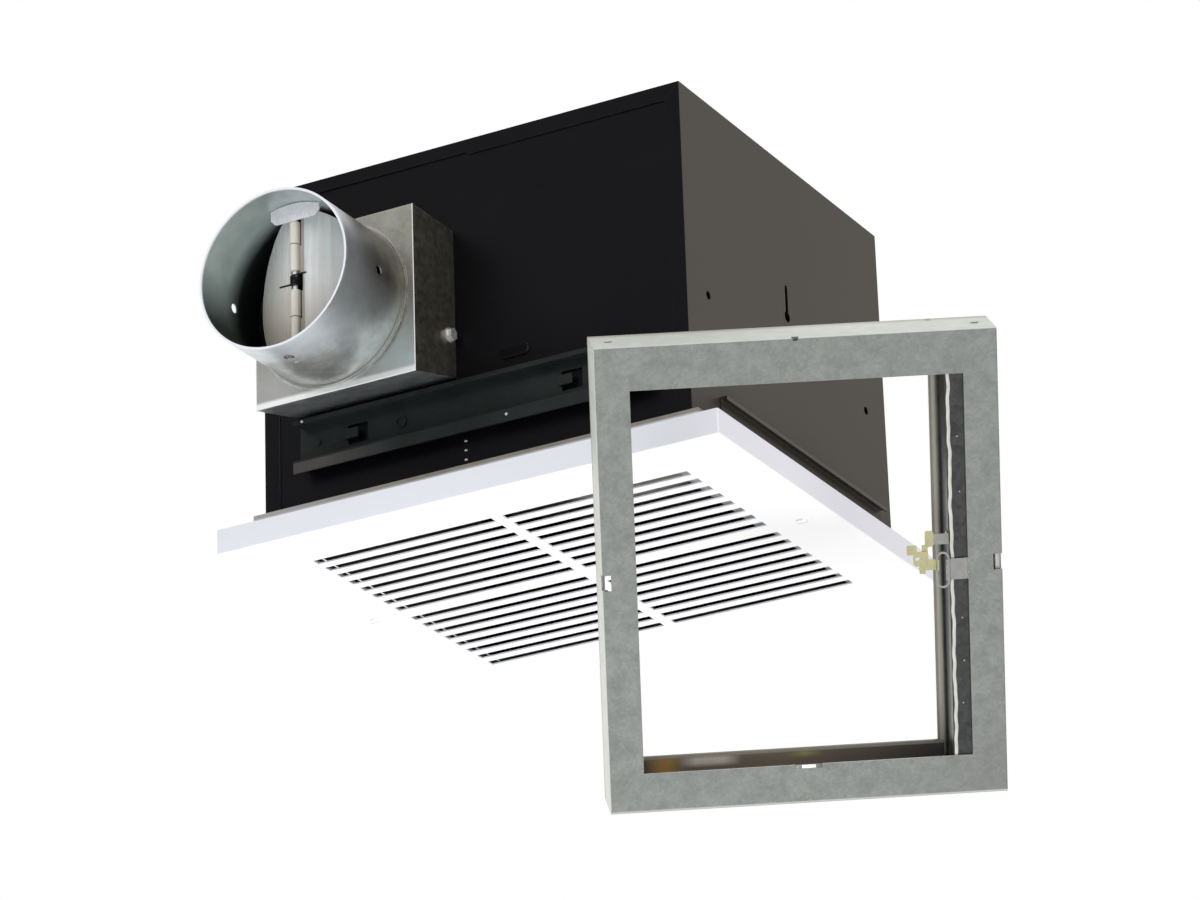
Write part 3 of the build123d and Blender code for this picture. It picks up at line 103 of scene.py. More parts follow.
class FanFinishSettings(bpy.types.PropertyGroup):
    enamel: colour_property("Enamel", "Black enamel of the housing", (0.0014, 0.0015, 0.0024))
    enamel_bloom: colour_property("Enamel bloom", "Paler bloom in the enamel", (0.0034, 0.0034, 0.0046))
    # Painted light: the dull warm grey that the side walls show in place of the black enamel
    side_wall_light: colour_property("Side wall light", "Painted light: the warm dull tone of the side walls", (0.060, 0.050, 0.039))
    primer: colour_property("Primer", "Thin primer on the ceiling flange", (0.350, 0.318, 0.262))
    zinc: colour_property("Zinc", "Bright galvanised sheet", (0.500, 0.490, 0.455))
    zinc_dark: colour_property("Dark zinc", "Darker crystals of the galvanised sheet", (0.390, 0.378, 0.342))
    frame_zinc: colour_property("Frame zinc", "Matt zinc of the ceiling damper", (0.196, 0.210, 0.197))
    frame_zinc_pale: colour_property(
        "Pale frame zinc", "Paler blotches of the matt zinc", (0.290, 0.305, 0.287)
    )
    grille_white: colour_property("Grille white", "Gloss enamel of the grille", (0.980, 0.980, 0.980))
    brass: colour_property("Brass", "Tarnished plates of the fusible link", (0.700, 0.660, 0.380))
    crystal: length_property("Crystal", "Size of a crystal in the galvanised sheet", 3.2 * MM)
    frame_crystal: length_property("Frame crystal", "Size of a crystal in the matt zinc", 1.5 * MM)


class FanTrimSettings(bpy.types.PropertyGroup):
    stud_radius: length_property("Stud radius", "Radius of the small pressed studs", 1.1 * MM)
    sides: IntProperty(name="Sides", description="Sides of the small round pieces", default=20, min=8, max=64)


class FanStageSettings(bpy.types.PropertyGroup):
    lens: FloatProperty(name="Lens", description="Focal length of the camera", default=163.74, unit="CAMERA")
    azimuth: FloatProperty(
        name="Azimuth", description="How far the camera stands round to the right",
        default=math.radians(28.392), subtype="ANGLE",
    )
    elevation: FloatProperty(
        name="Elevation", description="How far the camera looks down; below zero it looks up",
        default=math.radians(-22.621), subtype="ANGLE",
    )
    roll: FloatProperty(
        name="Roll", description="Turn about the line of sight", default=math.radians(-1.985),
        subtype="ANGLE",
    )
    camera_place: FloatVectorProperty(
        name="Camera place", description="Where the camera stands", default=(1.4570, -2.6705, -1.2049),
        size=3, subtype="XYZ", unit="LENGTH",
    )
    floor_drop: length_property("Floor drop", "How far the floor lies under the ceiling", 1.6)
    floor_reach: length_property("Floor reach", "Half the side of the floor", 14.0)
    sky: FloatProperty(name="Sky", description="Strength of the room's even light", default=0.62, min=0.0)
    front_glow: FloatProperty(
        name="Front glow", description="Strength of what polished faces mirror of the room in front",
        default=0.95, min=0.0,
    )
    key: FloatProperty(name="Key", description="Power of the lamp in front", default=12.0, min=0.0)
    low: FloatProperty(name="Low", description="Power of the lamp below", default=38.0, min=0.0)


# Shader helpers

def float_input(name, value):
    return name, "NodeSocketFloat", value


def place_input():
    return "Place", "NodeSocketVector", None


def new_group(name, inputs, outputs):
    """A node group with named sockets, and its two end nodes."""
    tree = bpy.data.node_groups.new(name, "ShaderNodeTree")
    for label, kind, value in inputs:
        socket = tree.interface.new_socket(label, in_out="INPUT", socket_type=kind)
        if value is not None:
            socket.default_value = value
    for label in outputs:
        kind = "NodeSocketVector" if label == "Normal" else "NodeSocketFloat"
        tree.interface.new_socket(label, in_out="OUTPUT", socket_type=kind)
    start = tree.nodes.new("NodeGroupInput")
    end = tree.nodes.new("NodeGroupOutput")
    return tree, start, end


def wire(tree, source, target):
    """Joins an output to an input, or sets the input to a plain value."""
    if isinstance(source, bpy.types.NodeSocket):
        tree.links.new(source, target)
    else:
        target.default_value = source


def math_node(tree, operation, first, second=0.5, clamp=False):
    node = tree.nodes.new("ShaderNodeMath")
    node.operation = operation
    node.use_clamp = clamp
    wire(tree, first, node.inputs[0])
    wire(tree, second, node.inputs[1])
    return node.outputs[0]


def ranged(tree, value, low, high, to_low=0.0, to_high=1.0):
    node = tree.nodes.new("ShaderNodeMapRange")
    wire(tree, value, node.inputs["Value"])
    wire(tree, low, node.inputs["From Min"])
    wire(tree, high, node.inputs["From Max"])
    wire(tree, to_low, node.inputs["To Min"])
    wire(tree, to_high, node.inputs["To Max"])
    return node.outputs["Result"]


def blended(tree, factor, first, second):
    """Two colours mixed by a factor."""
    node = tree.nodes.new("ShaderNodeMix")
    node.data_type = "RGBA"
    wire(tree, factor, node.inputs["Factor"])
    for value, name in ((first, "A"), (second, "B")):
        socket = next(s for s in node.inputs if s.name == name and s.type == "RGBA")
        wire(tree, value if isinstance(value, bpy.types.NodeSocket) else (*value, 1.0), socket)
    return next(s for s in node.outputs if s.type == "RGBA")


def noise(tree, place, scale, detail=3.0, roughness=0.55):
    node = tree.nodes.new("ShaderNodeTexNoise")
    wire(tree, place, node.inputs["Vector"])
    wire(tree, scale, node.inputs["Scale"])
    node.inputs["Detail"].default_value = detail
    node.inputs["Roughness"].default_value = roughness
    return node.outputs["Fac"]


def per_metre(tree, size):
    return math_node(tree, "DIVIDE", 1.0, size)


def build_crystal_group():
    """Zinc crystals: flat patches of slightly different tone."""
    inputs = [place_input(), float_input("Size", 3 * MM)]
    tree, start, end = new_group("Zinc crystals", inputs, ["Tone", "Height"])
    scale = per_metre(tree, start.outputs["Size"])
    cells = tree.nodes.new("ShaderNodeTexVoronoi")
    wire(tree, start.outputs["Place"], cells.inputs["Vector"])
    wire(tree, scale, cells.inputs["Scale"])
    split = tree.nodes.new("ShaderNodeSeparateColor")
    wire(tree, cells.outputs["Color"], split.inputs["Color"])
    fine = noise(tree, start.outputs["Place"], math_node(tree, "MULTIPLY", scale, 2.0), 4.0)
    tone = math_node(tree, "MULTIPLY", split.outputs["Red"], 0.6)
    tone = math_node(tree, "ADD", tone, math_node(tree, "MULTIPLY", ranged(tree, fine, 0.3, 0.7), 0.4))
    wire(tree, tone, end.inputs["Tone"])
    wire(tree, math_node(tree, "ADD", split.outputs["Green"], fine), end.inputs["Height"])
    return tree


def build_patch_group():
    """Soft uneven patches."""
    tree, start, end = new_group(
        "Soft patches", [place_input(), float_input("Size", 30 * MM), float_input("Edge", 0.15)], ["Mask"]
    )
    scale = per_metre(tree, start.outputs["Size"])
    value = noise(tree, start.outputs["Place"], scale, 5.0, 0.6)
    low = math_node(tree, "SUBTRACT", 0.5, start.outputs["Edge"])
    high = math_node(tree, "ADD", 0.5, start.outputs["Edge"])
    wire(tree, ranged(tree, value, low, high), end.inputs["Mask"])
    return tree


def build_grain_group():
    """Fine lines left by rolling or drawing, along the direction in which the stretch is small."""
    inputs = [place_input(), ("Stretch", "NodeSocketVector", (1.0, 1.0, 1.0)), float_input("Size", 0.6 * MM)]
    tree, start, end = new_group("Drawn grain", inputs, ["Mask"])
    stretch = tree.nodes.new("ShaderNodeVectorMath")
    stretch.operation = "MULTIPLY"
    wire(tree, start.outputs["Place"], stretch.inputs[0])
    wire(tree, start.outputs["Stretch"], stretch.inputs[1])
    value = noise(tree, stretch.outputs[0], per_metre(tree, start.outputs["Size"]), 2.0)
    wire(tree, ranged(tree, value, 0.3, 0.7), end.inputs["Mask"])
    return tree


def build_wear_group():
    """A mask along outer edges, broken up by noise."""
    tree, start, end = new_group(
        "Edge line", [place_input(), float_input("Width", 0.8 * MM), float_input("Amount", 1.0)], ["Mask"]
    )
    rounded = tree.nodes.new("ShaderNodeBevel")
    rounded.samples = 4
    wire(tree, start.outputs["Width"], rounded.inputs["Radius"])
    plain = tree.nodes.new("ShaderNodeNewGeometry")
    dot = tree.nodes.new("ShaderNodeVectorMath")
    dot.operation = "DOT_PRODUCT"
    wire(tree, rounded.outputs["Normal"], dot.inputs[0])
    wire(tree, plain.outputs["Normal"], dot.inputs[1])
    edge = ranged(tree, dot.outputs["Value"], 0.995, 0.90)
    broken = ranged(tree, noise(tree, start.outputs["Place"], 180.0, 4.0), 0.35, 0.6)
    mask = math_node(tree, "MULTIPLY", edge, broken)
    wire(tree, math_node(tree, "MULTIPLY", mask, start.outputs["Amount"], clamp=True), end.inputs["Mask"])
    return tree


def build_facing_group():
    """A mask of the faces that look in one direction."""
    inputs = [("Direction", "NodeSocketVector", UP), float_input("Low", 0.5), float_input("High", 0.9)]
    tree, start, end = new_group("Facing", inputs, ["Mask"])
    surface = tree.nodes.new("ShaderNodeTexCoord")
    dot = tree.nodes.new("ShaderNodeVectorMath")
    dot.operation = "DOT_PRODUCT"
    wire(tree, surface.outputs["Normal"], dot.inputs[0])
    wire(tree, start.outputs["Direction"], dot.inputs[1])
    mask = ranged(tree, dot.outputs["Value"], start.outputs["Low"], start.outputs["High"])
    wire(tree, mask, end.inputs["Mask"])
    return tree


def build_fade_group():
    """A mask that rises from one depth to another along a direction."""
    inputs = [
        place_input(), ("Direction", "NodeSocketVector", UP), float_input("Low", 0.0),
        float_input("High", 1.0),
    ]
    tree, start, end = new_group("Fade", inputs, ["Mask"])
    dot = tree.nodes.new("ShaderNodeVectorMath")
    dot.operation = "DOT_PRODUCT"
    wire(tree, start.outputs["Place"], dot.inputs[0])
    wire(tree, start.outputs["Direction"], dot.inputs[1])
    mask = ranged(tree, dot.outputs["Value"], start.outputs["Low"], start.outputs["High"])
    wire(tree, mask, end.inputs["Mask"])
    return tree


def build_near_group():
    """A mask of what lies nearer than a radius to a line; across is 1 on the axes that count."""
    inputs = [
        place_input(), ("Centre", "NodeSocketVector", (0.0, 0.0, 0.0)),
        ("Across", "NodeSocketVector", (1.0, 1.0, 0.0)), float_input("Radius", 10 * MM),
    ]
    tree, start, end = new_group("Near", inputs, ["Mask"])
    offset = tree.nodes.new("ShaderNodeVectorMath")
    offset.operation = "SUBTRACT"
    wire(tree, start.outputs["Place"], offset.inputs[0])
    wire(tree, start.outputs["Centre"], offset.inputs[1])
    kept = tree.nodes.new("ShaderNodeVectorMath")
    kept.operation = "MULTIPLY"
    wire(tree, offset.outputs[0], kept.inputs[0])
    wire(tree, start.outputs["Across"], kept.inputs[1])
    length = tree.nodes.new("ShaderNodeVectorMath")
    length.operation = "LENGTH"
    wire(tree, kept.outputs[0], length.inputs[0])
    mask = math_node(tree, "LESS_THAN", length.outputs["Value"], start.outputs["Radius"])
    wire(tree, mask, end.inputs["Mask"])
    return tree


GROUP_BUILDERS = {
    "Zinc crystals": build_crystal_group,
    "Soft patches": build_patch_group,
    "Drawn grain": build_grain_group,
    "Edge line": build_wear_group,
    "Facing": build_facing_group,
    "Fade": build_fade_group,
    "Near": build_near_group,
}


class Finish:
    """A material in the making, with its shader and its place in the object."""

    def __init__(self, name):
        self.material = bpy.data.materials.new(name)
        self.material.use_nodes = True
        self.tree = self.material.node_tree
        self.shader = self.tree.nodes["Principled BSDF"]
        self.place = self.tree.nodes.new("ShaderNodeTexCoord").outputs["Object"]
        self.tone = None

    def effect(self, name, output="Mask", **values):
        """One of the shared groups, placed here with its own values."""
        group = bpy.data.node_groups.get(name)
        if group is None:
            group = GROUP_BUILDERS[name]()
        node = self.tree.nodes.new("ShaderNodeGroup")
        node.node_tree = group
        if "Place" in node.inputs:
            wire(self.tree, self.place, node.inputs["Place"])
        for label, value in values.items():
            wire(self.tree, value, node.inputs[label])
        return node.outputs[output]

    def fade(self, direction, low, high):
        return self.effect("Fade", Direction=direction, Low=low, High=high)

    def facing(self, direction, low=0.5, high=0.9):
        return self.effect("Facing", Direction=direction, Low=low, High=high)

    def both(self, first, second):
        return math_node(self.tree, "MULTIPLY", first, second, clamp=True)

    def band(self, direction, low, high, soft):
        """A mask between two depths along a direction, soft at both ends."""
        above = self.fade(direction, low - soft, low + soft)
        return self.both(above, self.fade(direction, high + soft, high - soft))

    def over(self, mask, tone, amount=1.0):
        """Lays a tone over the ones so far, where the mask says."""
        self.tone = blended(self.tree, self.range(mask, 0.0, 1.0, 0.0, amount), self.tone, tone)

    def near(self, centre, across, radius):
        """A mask of what lies nearer than a radius to a line, in millimetres."""
        centre = tuple(part * MM for part in centre)
        return self.effect("Near", Centre=centre, Across=across, Radius=radius * MM)

    def set(self, name, value):
        wire(self.tree, value, self.shader.inputs[name])

    def colour(self, value):
        source = value if isinstance(value, bpy.types.NodeSocket) else (*value, 1.0)
        wire(self.tree, source, self.shader.inputs["Base Color"])

    def bump(self, height, depth, strength=0.3):
        node = self.tree.nodes.new("ShaderNodeBump")
        node.inputs["Strength"].default_value = strength
        node.inputs["Distance"].default_value = depth
        wire(self.tree, height, node.inputs["Height"])
        self.tree.links.new(node.outputs["Normal"], self.shader.inputs["Normal"])

    def mix(self, factor, first, second):
        return blended(self.tree, factor, first, second)

    def range(self, value, low, high, to_low=0.0, to_high=1.0):
        return ranged(self.tree, value, low, high, to_low, to_high)


def enamel_finish(settings):
    """Black enamel, bluish in front, with painted light that turns the side walls a dull warm grey and
    painted shade in the front pocket.
    """
    finish = Finish("Black enamel")
    patches = finish.effect("Soft patches", Size=55 * MM, Edge=0.2)
    finish.tone = finish.mix(patches, settings.enamel, settings.enamel_bloom)
    # Painted light: the faces that look left or right take a dull warm grey
    for outward in (RIGHT, LEFT):
        side = finish.facing(outward)
        finish.over(side, settings.side_wall_light)
        finish.over(finish.both(side, patches), tuple(part * 1.15 for part in settings.side_wall_light))
    # Painted shade: the recessed pocket on the front is painted near black
    pocket_shade = finish.both(
        finish.band(RIGHT, 18.5 * MM, 37.0 * MM, 0.8 * MM),
        finish.band(UP, 72.2 * MM, 77.2 * MM, 0.8 * MM),
    )
    finish.over(finish.both(pocket_shade, finish.facing(FRONT, 0.3, 0.6)), (0.0004, 0.0004, 0.0006))
    finish.over(finish.effect("Edge line", Width=0.6 * MM, Amount=0.6), (0.050, 0.048, 0.046), 0.5)
    finish.colour(finish.tone)
    finish.set("Roughness", finish.range(patches, 0.0, 1.0, 0.33, 0.43))
    finish.set("Specular IOR Level", 0.09)
    finish.bump(finish.effect("Zinc crystals", "Height", Size=1.6 * MM), 0.05 * MM, 0.10)
    return finish.material


def angle_finish():
    """The side angles: the black enamel in the dull warm grey of painted side light, with a painted highlight
    on the lip, painted light on the underside against its shade, and a darker upright.
    """
    finish = Finish("Angle enamel")
    patches = finish.effect("Soft patches", Size=30 * MM, Edge=0.2)
    finish.tone = finish.mix(patches, (0.052, 0.045, 0.037), (0.062, 0.053, 0.044))
    # Painted highlight along the top of the lip facing right
    lip = finish.both(finish.fade(UP, 27.6 * MM, 27.9 * MM), finish.facing(RIGHT))
    finish.over(lip, (0.105, 0.095, 0.084))
    # Painted light on the downward faces, lifting their shade
    finish.over(finish.facing(DOWN), (0.080, 0.070, 0.058))
    finish.colour(finish.tone)
    finish.set("Roughness", 0.4)
    finish.set("Specular IOR Level", 0.09)
    finish.bump(finish.effect("Zinc crystals", "Height", Size=1.6 * MM), 0.05 * MM, 0.10)
    return finish.material


def rail_finish():
    """The hanger rails: glossier black, olive on the face, with painted shade in navy on the upward faces and
    a painted highlight on the lower lip that fades to the right.
    """
    finish = Finish("Rail enamel")
    patches = finish.effect("Soft patches", Size=26 * MM, Edge=0.2)
    streaks = finish.effect("Drawn grain", Size=2.2 * MM, Stretch=(0.05, 1.0, 1.0))
    finish.tone = finish.mix(patches, (0.0090, 0.0116, 0.0112), (0.0150, 0.0186, 0.0178))
    # Painted shade: the upward faces go a darker navy
    finish.over(finish.facing(UP), (0.0024, 0.0026, 0.0060))
    # Painted highlight on the lower lip, strongest at the left end and fading to the right
    low = finish.fade(UP, 33.6 * MM, 33.2 * MM)
    left = finish.fade(RIGHT, -45 * MM, -100 * MM)
    finish.over(finish.both(low, left), (0.060, 0.056, 0.053), 0.9)
    finish.over(streaks, (0.012, 0.013, 0.014), 0.15)
    finish.colour(finish.tone)
    finish.set("Roughness", finish.range(streaks, 0.0, 1.0, 0.18, 0.30))
    finish.set("Specular IOR Level", 0.11)
    finish.bump(streaks, 0.04 * MM, 0.10)
    return finish.material


def primer_finish(settings):
    """The ceiling flange: thin primer along its upper edge, and below it a lilac grey of painted shade like
    that of the grille's front lip.
    """
    finish = Finish("Thin primer")
    patches = finish.effect("Soft patches", Size=18 * MM, Edge=0.2)
    darker = tuple(part * 0.72 for part in settings.primer)
    finish.tone = finish.mix(patches, darker, settings.primer)
    finish.over(finish.fade(RIGHT, -40 * MM, -130 * MM), (0.480, 0.475, 0.470), 0.8)
    # Painted shade: below the upper edge the flange takes the lilac grey of the shaded grille lip
    finish.over(finish.fade(UP, 6.9 * MM, 6.5 * MM), (0.560, 0.560, 0.600))
    finish.colour(finish.tone)
    finish.set("Roughness", 0.45)
    finish.set("Metallic", 0.2)
    finish.bump(finish.effect("Zinc crystals", "Height", Size=1.5 * MM), 0.05 * MM, 0.15)
    return finish.material


def zinc_finish(settings):
    """The inner pieces: bright galvanised sheet with visible crystals."""
    finish = Finish("Inner zinc")
    crystals = finish.effect("Zinc crystals", "Tone", Size=settings.crystal)
    patches = finish.effect("Soft patches", Size=35 * MM, Edge=0.22)
    finish.tone = finish.mix(crystals, settings.zinc_dark, settings.zinc)
    finish.over(patches, (0.200, 0.190, 0.170), 0.25)
    finish.over(finish.effect("Edge line", Width=0.6 * MM, Amount=0.8), (0.800, 0.800, 0.790))
    finish.colour(finish.tone)
    finish.set("Metallic", 0.95)
    finish.set("Roughness", finish.range(crystals, 0.0, 1.0, 0.24, 0.42))
    finish.bump(finish.effect("Zinc crystals", "Height", Size=settings.crystal), 0.06 * MM, 0.18)
    return finish.material


def box_finish(settings):
    """The outlet box: beige above; painted light makes it lilac and bluish below and on the underside,
    painted shade makes the side by the wall brown, and painted highlights run along its edges.
    """
    finish = Finish("Box zinc")
    crystals = finish.effect("Zinc crystals", "Tone", Size=settings.crystal)
    patches = finish.effect("Soft patches", Size=24 * MM, Edge=0.25)
    broad = finish.effect("Soft patches", Size=13 * MM, Edge=0.12)
    finish.tone = finish.mix(crystals, (0.235, 0.230, 0.196), (0.350, 0.346, 0.305))
    # Painted light: the lower front goes lilac grey to the left and bluish to the right
    low = finish.fade(UP, 112 * MM, 66 * MM)
    finish.over(finish.both(low, finish.fade(RIGHT, -50 * MM, -100 * MM)), (0.430, 0.440, 0.455), 0.8)
    finish.over(finish.both(low, finish.fade(RIGHT, -60 * MM, -20 * MM)), (0.620, 0.700, 0.720), 0.8)
    finish.over(patches, (0.250, 0.240, 0.205), 0.4)
    finish.over(broad, (0.520, 0.525, 0.500), 0.25)
    # Painted light on the downward faces, bluish white
    under = finish.mix(broad, (0.560, 0.590, 0.600), (0.760, 0.800, 0.820))
    finish.over(finish.facing(DOWN), under)
    # Painted shade: the side by the wall, facing right, goes brown
    side = finish.facing(RIGHT)
    finish.over(side, finish.mix(crystals, (0.200, 0.180, 0.140), (0.430, 0.400, 0.330)))
    # Painted highlights along the bottom front edge, the foot of the front, the right front edge and the
    # other bevelled edges
    finish.over(finish.facing((0.0, -0.707, -0.707), 0.80, 0.95), (1.000, 1.000, 1.000))
    foot = finish.fade(UP, BOX_FOOT + 4.6 * MM, BOX_FOOT + 2.6 * MM)
    finish.over(finish.both(foot, finish.facing(FRONT)), (1.000, 1.000, 1.000), 0.85)
    finish.over(finish.facing((0.707, -0.707, 0.0), 0.90, 0.97), (0.850, 0.845, 0.820))
    finish.over(finish.effect("Edge line", Width=0.7 * MM, Amount=1.0), (0.860, 0.870, 0.880))
    finish.colour(finish.tone)
    finish.set("Metallic", 0.92)
    finish.set("Roughness", finish.range(crystals, 0.0, 1.0, 0.28, 0.42))
    finish.bump(finish.effect("Zinc crystals", "Height", Size=settings.crystal), 0.05 * MM, 0.12)
    return finish.material


def collar_finish():
    """Zinc drawn round the collar: bluish, with painted highlights on the rim and the lower faces and painted
    shade that browns it by the root; dull green inside, going dark with painted shade lower down and deeper
    in.
    """
    finish = Finish("Drawn zinc")
    crystals = finish.effect("Zinc crystals", "Tone", Size=4.2 * MM)
    patches = finish.effect("Soft patches", Size=16 * MM, Edge=0.2)
    rings = finish.effect("Drawn grain", Size=1.4 * MM, Stretch=(0.06, 1.0, 0.06))
    finish.tone = finish.mix(crystals, (0.660, 0.685, 0.715), (0.760, 0.790, 0.830))
    # Painted shade: browner towards the root, darkest on the upper right faces
    root = finish.fade(BACK, -229 * MM, -202 * MM)
    finish.over(root, (0.230, 0.220, 0.192), 0.90)
    finish.over(finish.both(root, finish.facing((0.78, 0.0, 0.62), 0.2, 0.95)), (0.150, 0.132, 0.104), 0.7)
    # Painted highlight, bluish white, on the faces that look down
    finish.over(finish.facing((0.30, 0.0, -0.95), 0.35, 0.8), (0.890, 0.975, 1.000), 0.88)
    low_root = finish.both(root, finish.facing(DOWN, 0.8, 1.0))
    finish.over(finish.both(low_root, patches), (0.300, 0.260, 0.190), 0.75)
    finish.over(patches, (0.300, 0.275, 0.225), 0.22)
    small = finish.effect("Soft patches", Size=8 * MM, Edge=0.12)
    finish.over(finish.both(root, small), (0.480, 0.460, 0.400), 0.30)
    finish.over(rings, (0.420, 0.420, 0.420), 0.06)
    inner = finish.near((COLLAR_X, 0.0, COLLAR_Z), (1.0, 0.0, 1.0), 49.5)
    finish.over(inner, finish.mix(patches, (0.400, 0.480, 0.460), (0.560, 0.630, 0.620)))
    # Painted shade inside: dark lower down, near black deeper in by the flaps
    finish.over(finish.both(inner, finish.fade(UP, 124 * MM, 90 * MM)), (0.050, 0.060, 0.055), 0.9)
    finish.over(finish.both(inner, finish.fade(BACK, -212 * MM, -198 * MM)), (0.012, 0.017, 0.019), 0.95)
    # Painted highlight on the front rim
    finish.over(finish.fade(BACK, -237.6 * MM, -237.9 * MM), (0.860, 0.880, 0.920))
    finish.colour(finish.tone)
    finish.set("Metallic", 0.86)
    finish.set("Roughness", finish.range(rings, 0.0, 1.0, 0.30, 0.38))
    finish.bump(rings, 0.01 * MM, 0.02)
    return finish.material


def flap_finish(name, near, far, metallic):
    """A flap with upright streaks: one tone by the rod, another by its edge, a pale painted reflection above,
    and painted shade brown below and along the rod.
    """
    finish = Finish(name)
    streaks = finish.effect("Soft patches", Size=9 * MM, Edge=0.2)
    grain = finish.effect("Drawn grain", Size=4 * MM, Stretch=(1.0, 1.0, 0.05))
    finish.tone = finish.mix(finish.fade(BACK, -212 * MM, -190 * MM), near, far)
    # Painted reflection: pale and bluish towards the top
    finish.over(finish.fade(UP, 104 * MM, 132 * MM), (0.860, 0.960, 1.000), 0.8)
    finish.over(grain, tuple(part * 0.60 for part in far), 0.45)
    # Painted shade: brown towards the bottom
    finish.over(finish.fade(UP, 112 * MM, 70 * MM), (0.420, 0.330, 0.240), 0.65)
    finish.over(streaks, (0.620, 0.600, 0.560), 0.3)
    # Painted shade in the creases along the rod, beside the paler knuckle
    finish.over(finish.near((COLLAR_X, 0.0, 0.0), RIGHT, 4.6), (0.300, 0.230, 0.160), 0.75)
    knuckle = finish.near((COLLAR_X, ROD_Y, 0.0), (1.0, 1.0, 0.0), 3.6)
    finish.over(knuckle, finish.mix(grain, (0.560, 0.520, 0.440), (0.780, 0.750, 0.680)))
    finish.colour(finish.tone)
    finish.set("Metallic", metallic)
    finish.set("Specular IOR Level", 0.8)
    finish.set("Roughness", finish.range(grain, 0.0, 1.0, 0.22, 0.36))
    finish.bump(grain, 0.04 * MM, 0.12)
    return finish.material


def matt_zinc_finish(settings):
    """The ceiling damper's frame: mottled grey, darker towards the lower right, painted light on the outer
    webs, and brown painted shade inside with painted highlights in gold and warm white.
    """
    finish = Finish("Matt zinc")
    crystals = finish.effect("Zinc crystals", "Tone", Size=settings.frame_crystal)
    patches = finish.effect("Soft patches", Size=9 * MM, Edge=0.2)
    broad = finish.effect("Soft patches", Size=48 * MM, Edge=0.25)
    finish.tone = finish.mix(patches, settings.frame_zinc, settings.frame_zinc_pale)
    finish.over(broad, (0.214, 0.224, 0.212), 0.5)
    finish.over(finish.range(crystals, 0.50, 0.9), (0.390, 0.410, 0.386), 0.26)
    finish.over(finish.range(crystals, 0.45, 0.1), (0.140, 0.152, 0.144), 0.28)
    # Darker towards the lower right corner, in broad patches
    dull = finish.both(finish.fade(FRAME_RIGHT, *framed(FRAME_RIGHT, 40.0, 112.0)), broad)
    dull = finish.both(dull, finish.fade(FRAME_UP, *framed(FRAME_UP, -60.0, -135.0)))
    finish.over(dull, (0.150, 0.152, 0.140), 0.45)
    # Painted light on the outer webs, which face left and up
    for outward in (FRAME_LEFT, FRAME_UP):
        finish.over(finish.facing(outward), finish.mix(patches, (0.700, 0.720, 0.670), (0.800, 0.820, 0.760)))
    rear = finish.fade(FRAME_BACK, *framed(FRAME_BACK, 30.0, 36.0))
    finish.over(rear, finish.mix(broad, (0.500, 0.485, 0.420), (0.600, 0.585, 0.520)))
    edge = finish.band(FRAME_RIGHT, *framed(FRAME_RIGHT, 76.0, 79.0), 0.4 * MM)
    finish.over(finish.both(rear, edge), (0.260, 0.250, 0.220), 0.8)
    # The foot of the rear flange: painted shade, brown to the left and darker to the right
    foot = finish.both(rear, finish.fade(FRAME_UP, *framed(FRAME_UP, -108.9, -109.5)))
    foot = finish.both(foot, finish.facing(-FRAME_BACK, 0.2, 0.6))
    shade = finish.fade(FRAME_RIGHT, *framed(FRAME_RIGHT, -10.0, 70.0))
    finish.over(foot, finish.mix(shade, (0.250, 0.200, 0.155), (0.100, 0.088, 0.085)))
    # Painted highlights in gold, warm white and amber along the foot, beside one dark patch
    for low, high, bottom, tone in (
        (-100.0, -87.0, -125.0, (0.050, 0.050, 0.052)), (-83.0, -70.0, -119.0, (0.640, 0.360, 0.100)),
        (-64.0, -38.0, -115.5, (0.900, 0.800, 0.740)), (-3.0, 8.0, -113.5, (0.450, 0.420, 0.150)),
    ):
        across = finish.band(FRAME_RIGHT, *framed(FRAME_RIGHT, low, high), 5.0 * MM)
        upward = finish.band(FRAME_UP, *framed(FRAME_UP, bottom, -110.6), 1.2 * MM)
        finish.over(finish.both(finish.both(foot, across), upward), tone, 0.85)
    # Painted highlight along the free edge of the rear flange
    free_edge = finish.fade(FRAME_UP, *framed(FRAME_UP, -110.9, -110.3))
    finish.over(finish.both(foot, free_edge), (0.480, 0.455, 0.400), 0.7)
    lit_edge = finish.fade(FRAME_UP, RAIL_FOOT + 1.5 * MM, RAIL_FOOT + 0.9 * MM)
    finish.over(finish.both(finish.facing(-FRAME_BACK), lit_edge), (0.560, 0.580, 0.550), 0.8)
    finish.colour(finish.tone)
    finish.set("Metallic", 0.55)
    finish.set("Roughness", finish.range(crystals, 0.0, 1.0, 0.42, 0.60))
    finish.bump(finish.effect("Zinc crystals", "Height", Size=settings.frame_crystal), 0.05 * MM, 0.15)
    return finish.material


def curtain_finish(settings):
    """The folded curtain: pale rolled zinc, duller in patches."""
    finish = Finish("Curtain zinc")
    patches = finish.effect("Soft patches", Size=12 * MM, Edge=0.2)
    crystals = finish.effect("Zinc crystals", "Tone", Size=settings.frame_crystal)
    finish.tone = finish.mix(crystals, (0.460, 0.450, 0.400), (0.580, 0.570, 0.515))
    finish.over(patches, (0.370, 0.360, 0.315), 0.4)
    finish.colour(finish.tone)
    finish.set("Metallic", 0.5)
    finish.set("Roughness", finish.range(crystals, 0.0, 1.0, 0.36, 0.52))
    finish.bump(finish.effect("Zinc crystals", "Height", Size=settings.frame_crystal), 0.05 * MM, 0.12)
    return finish.material


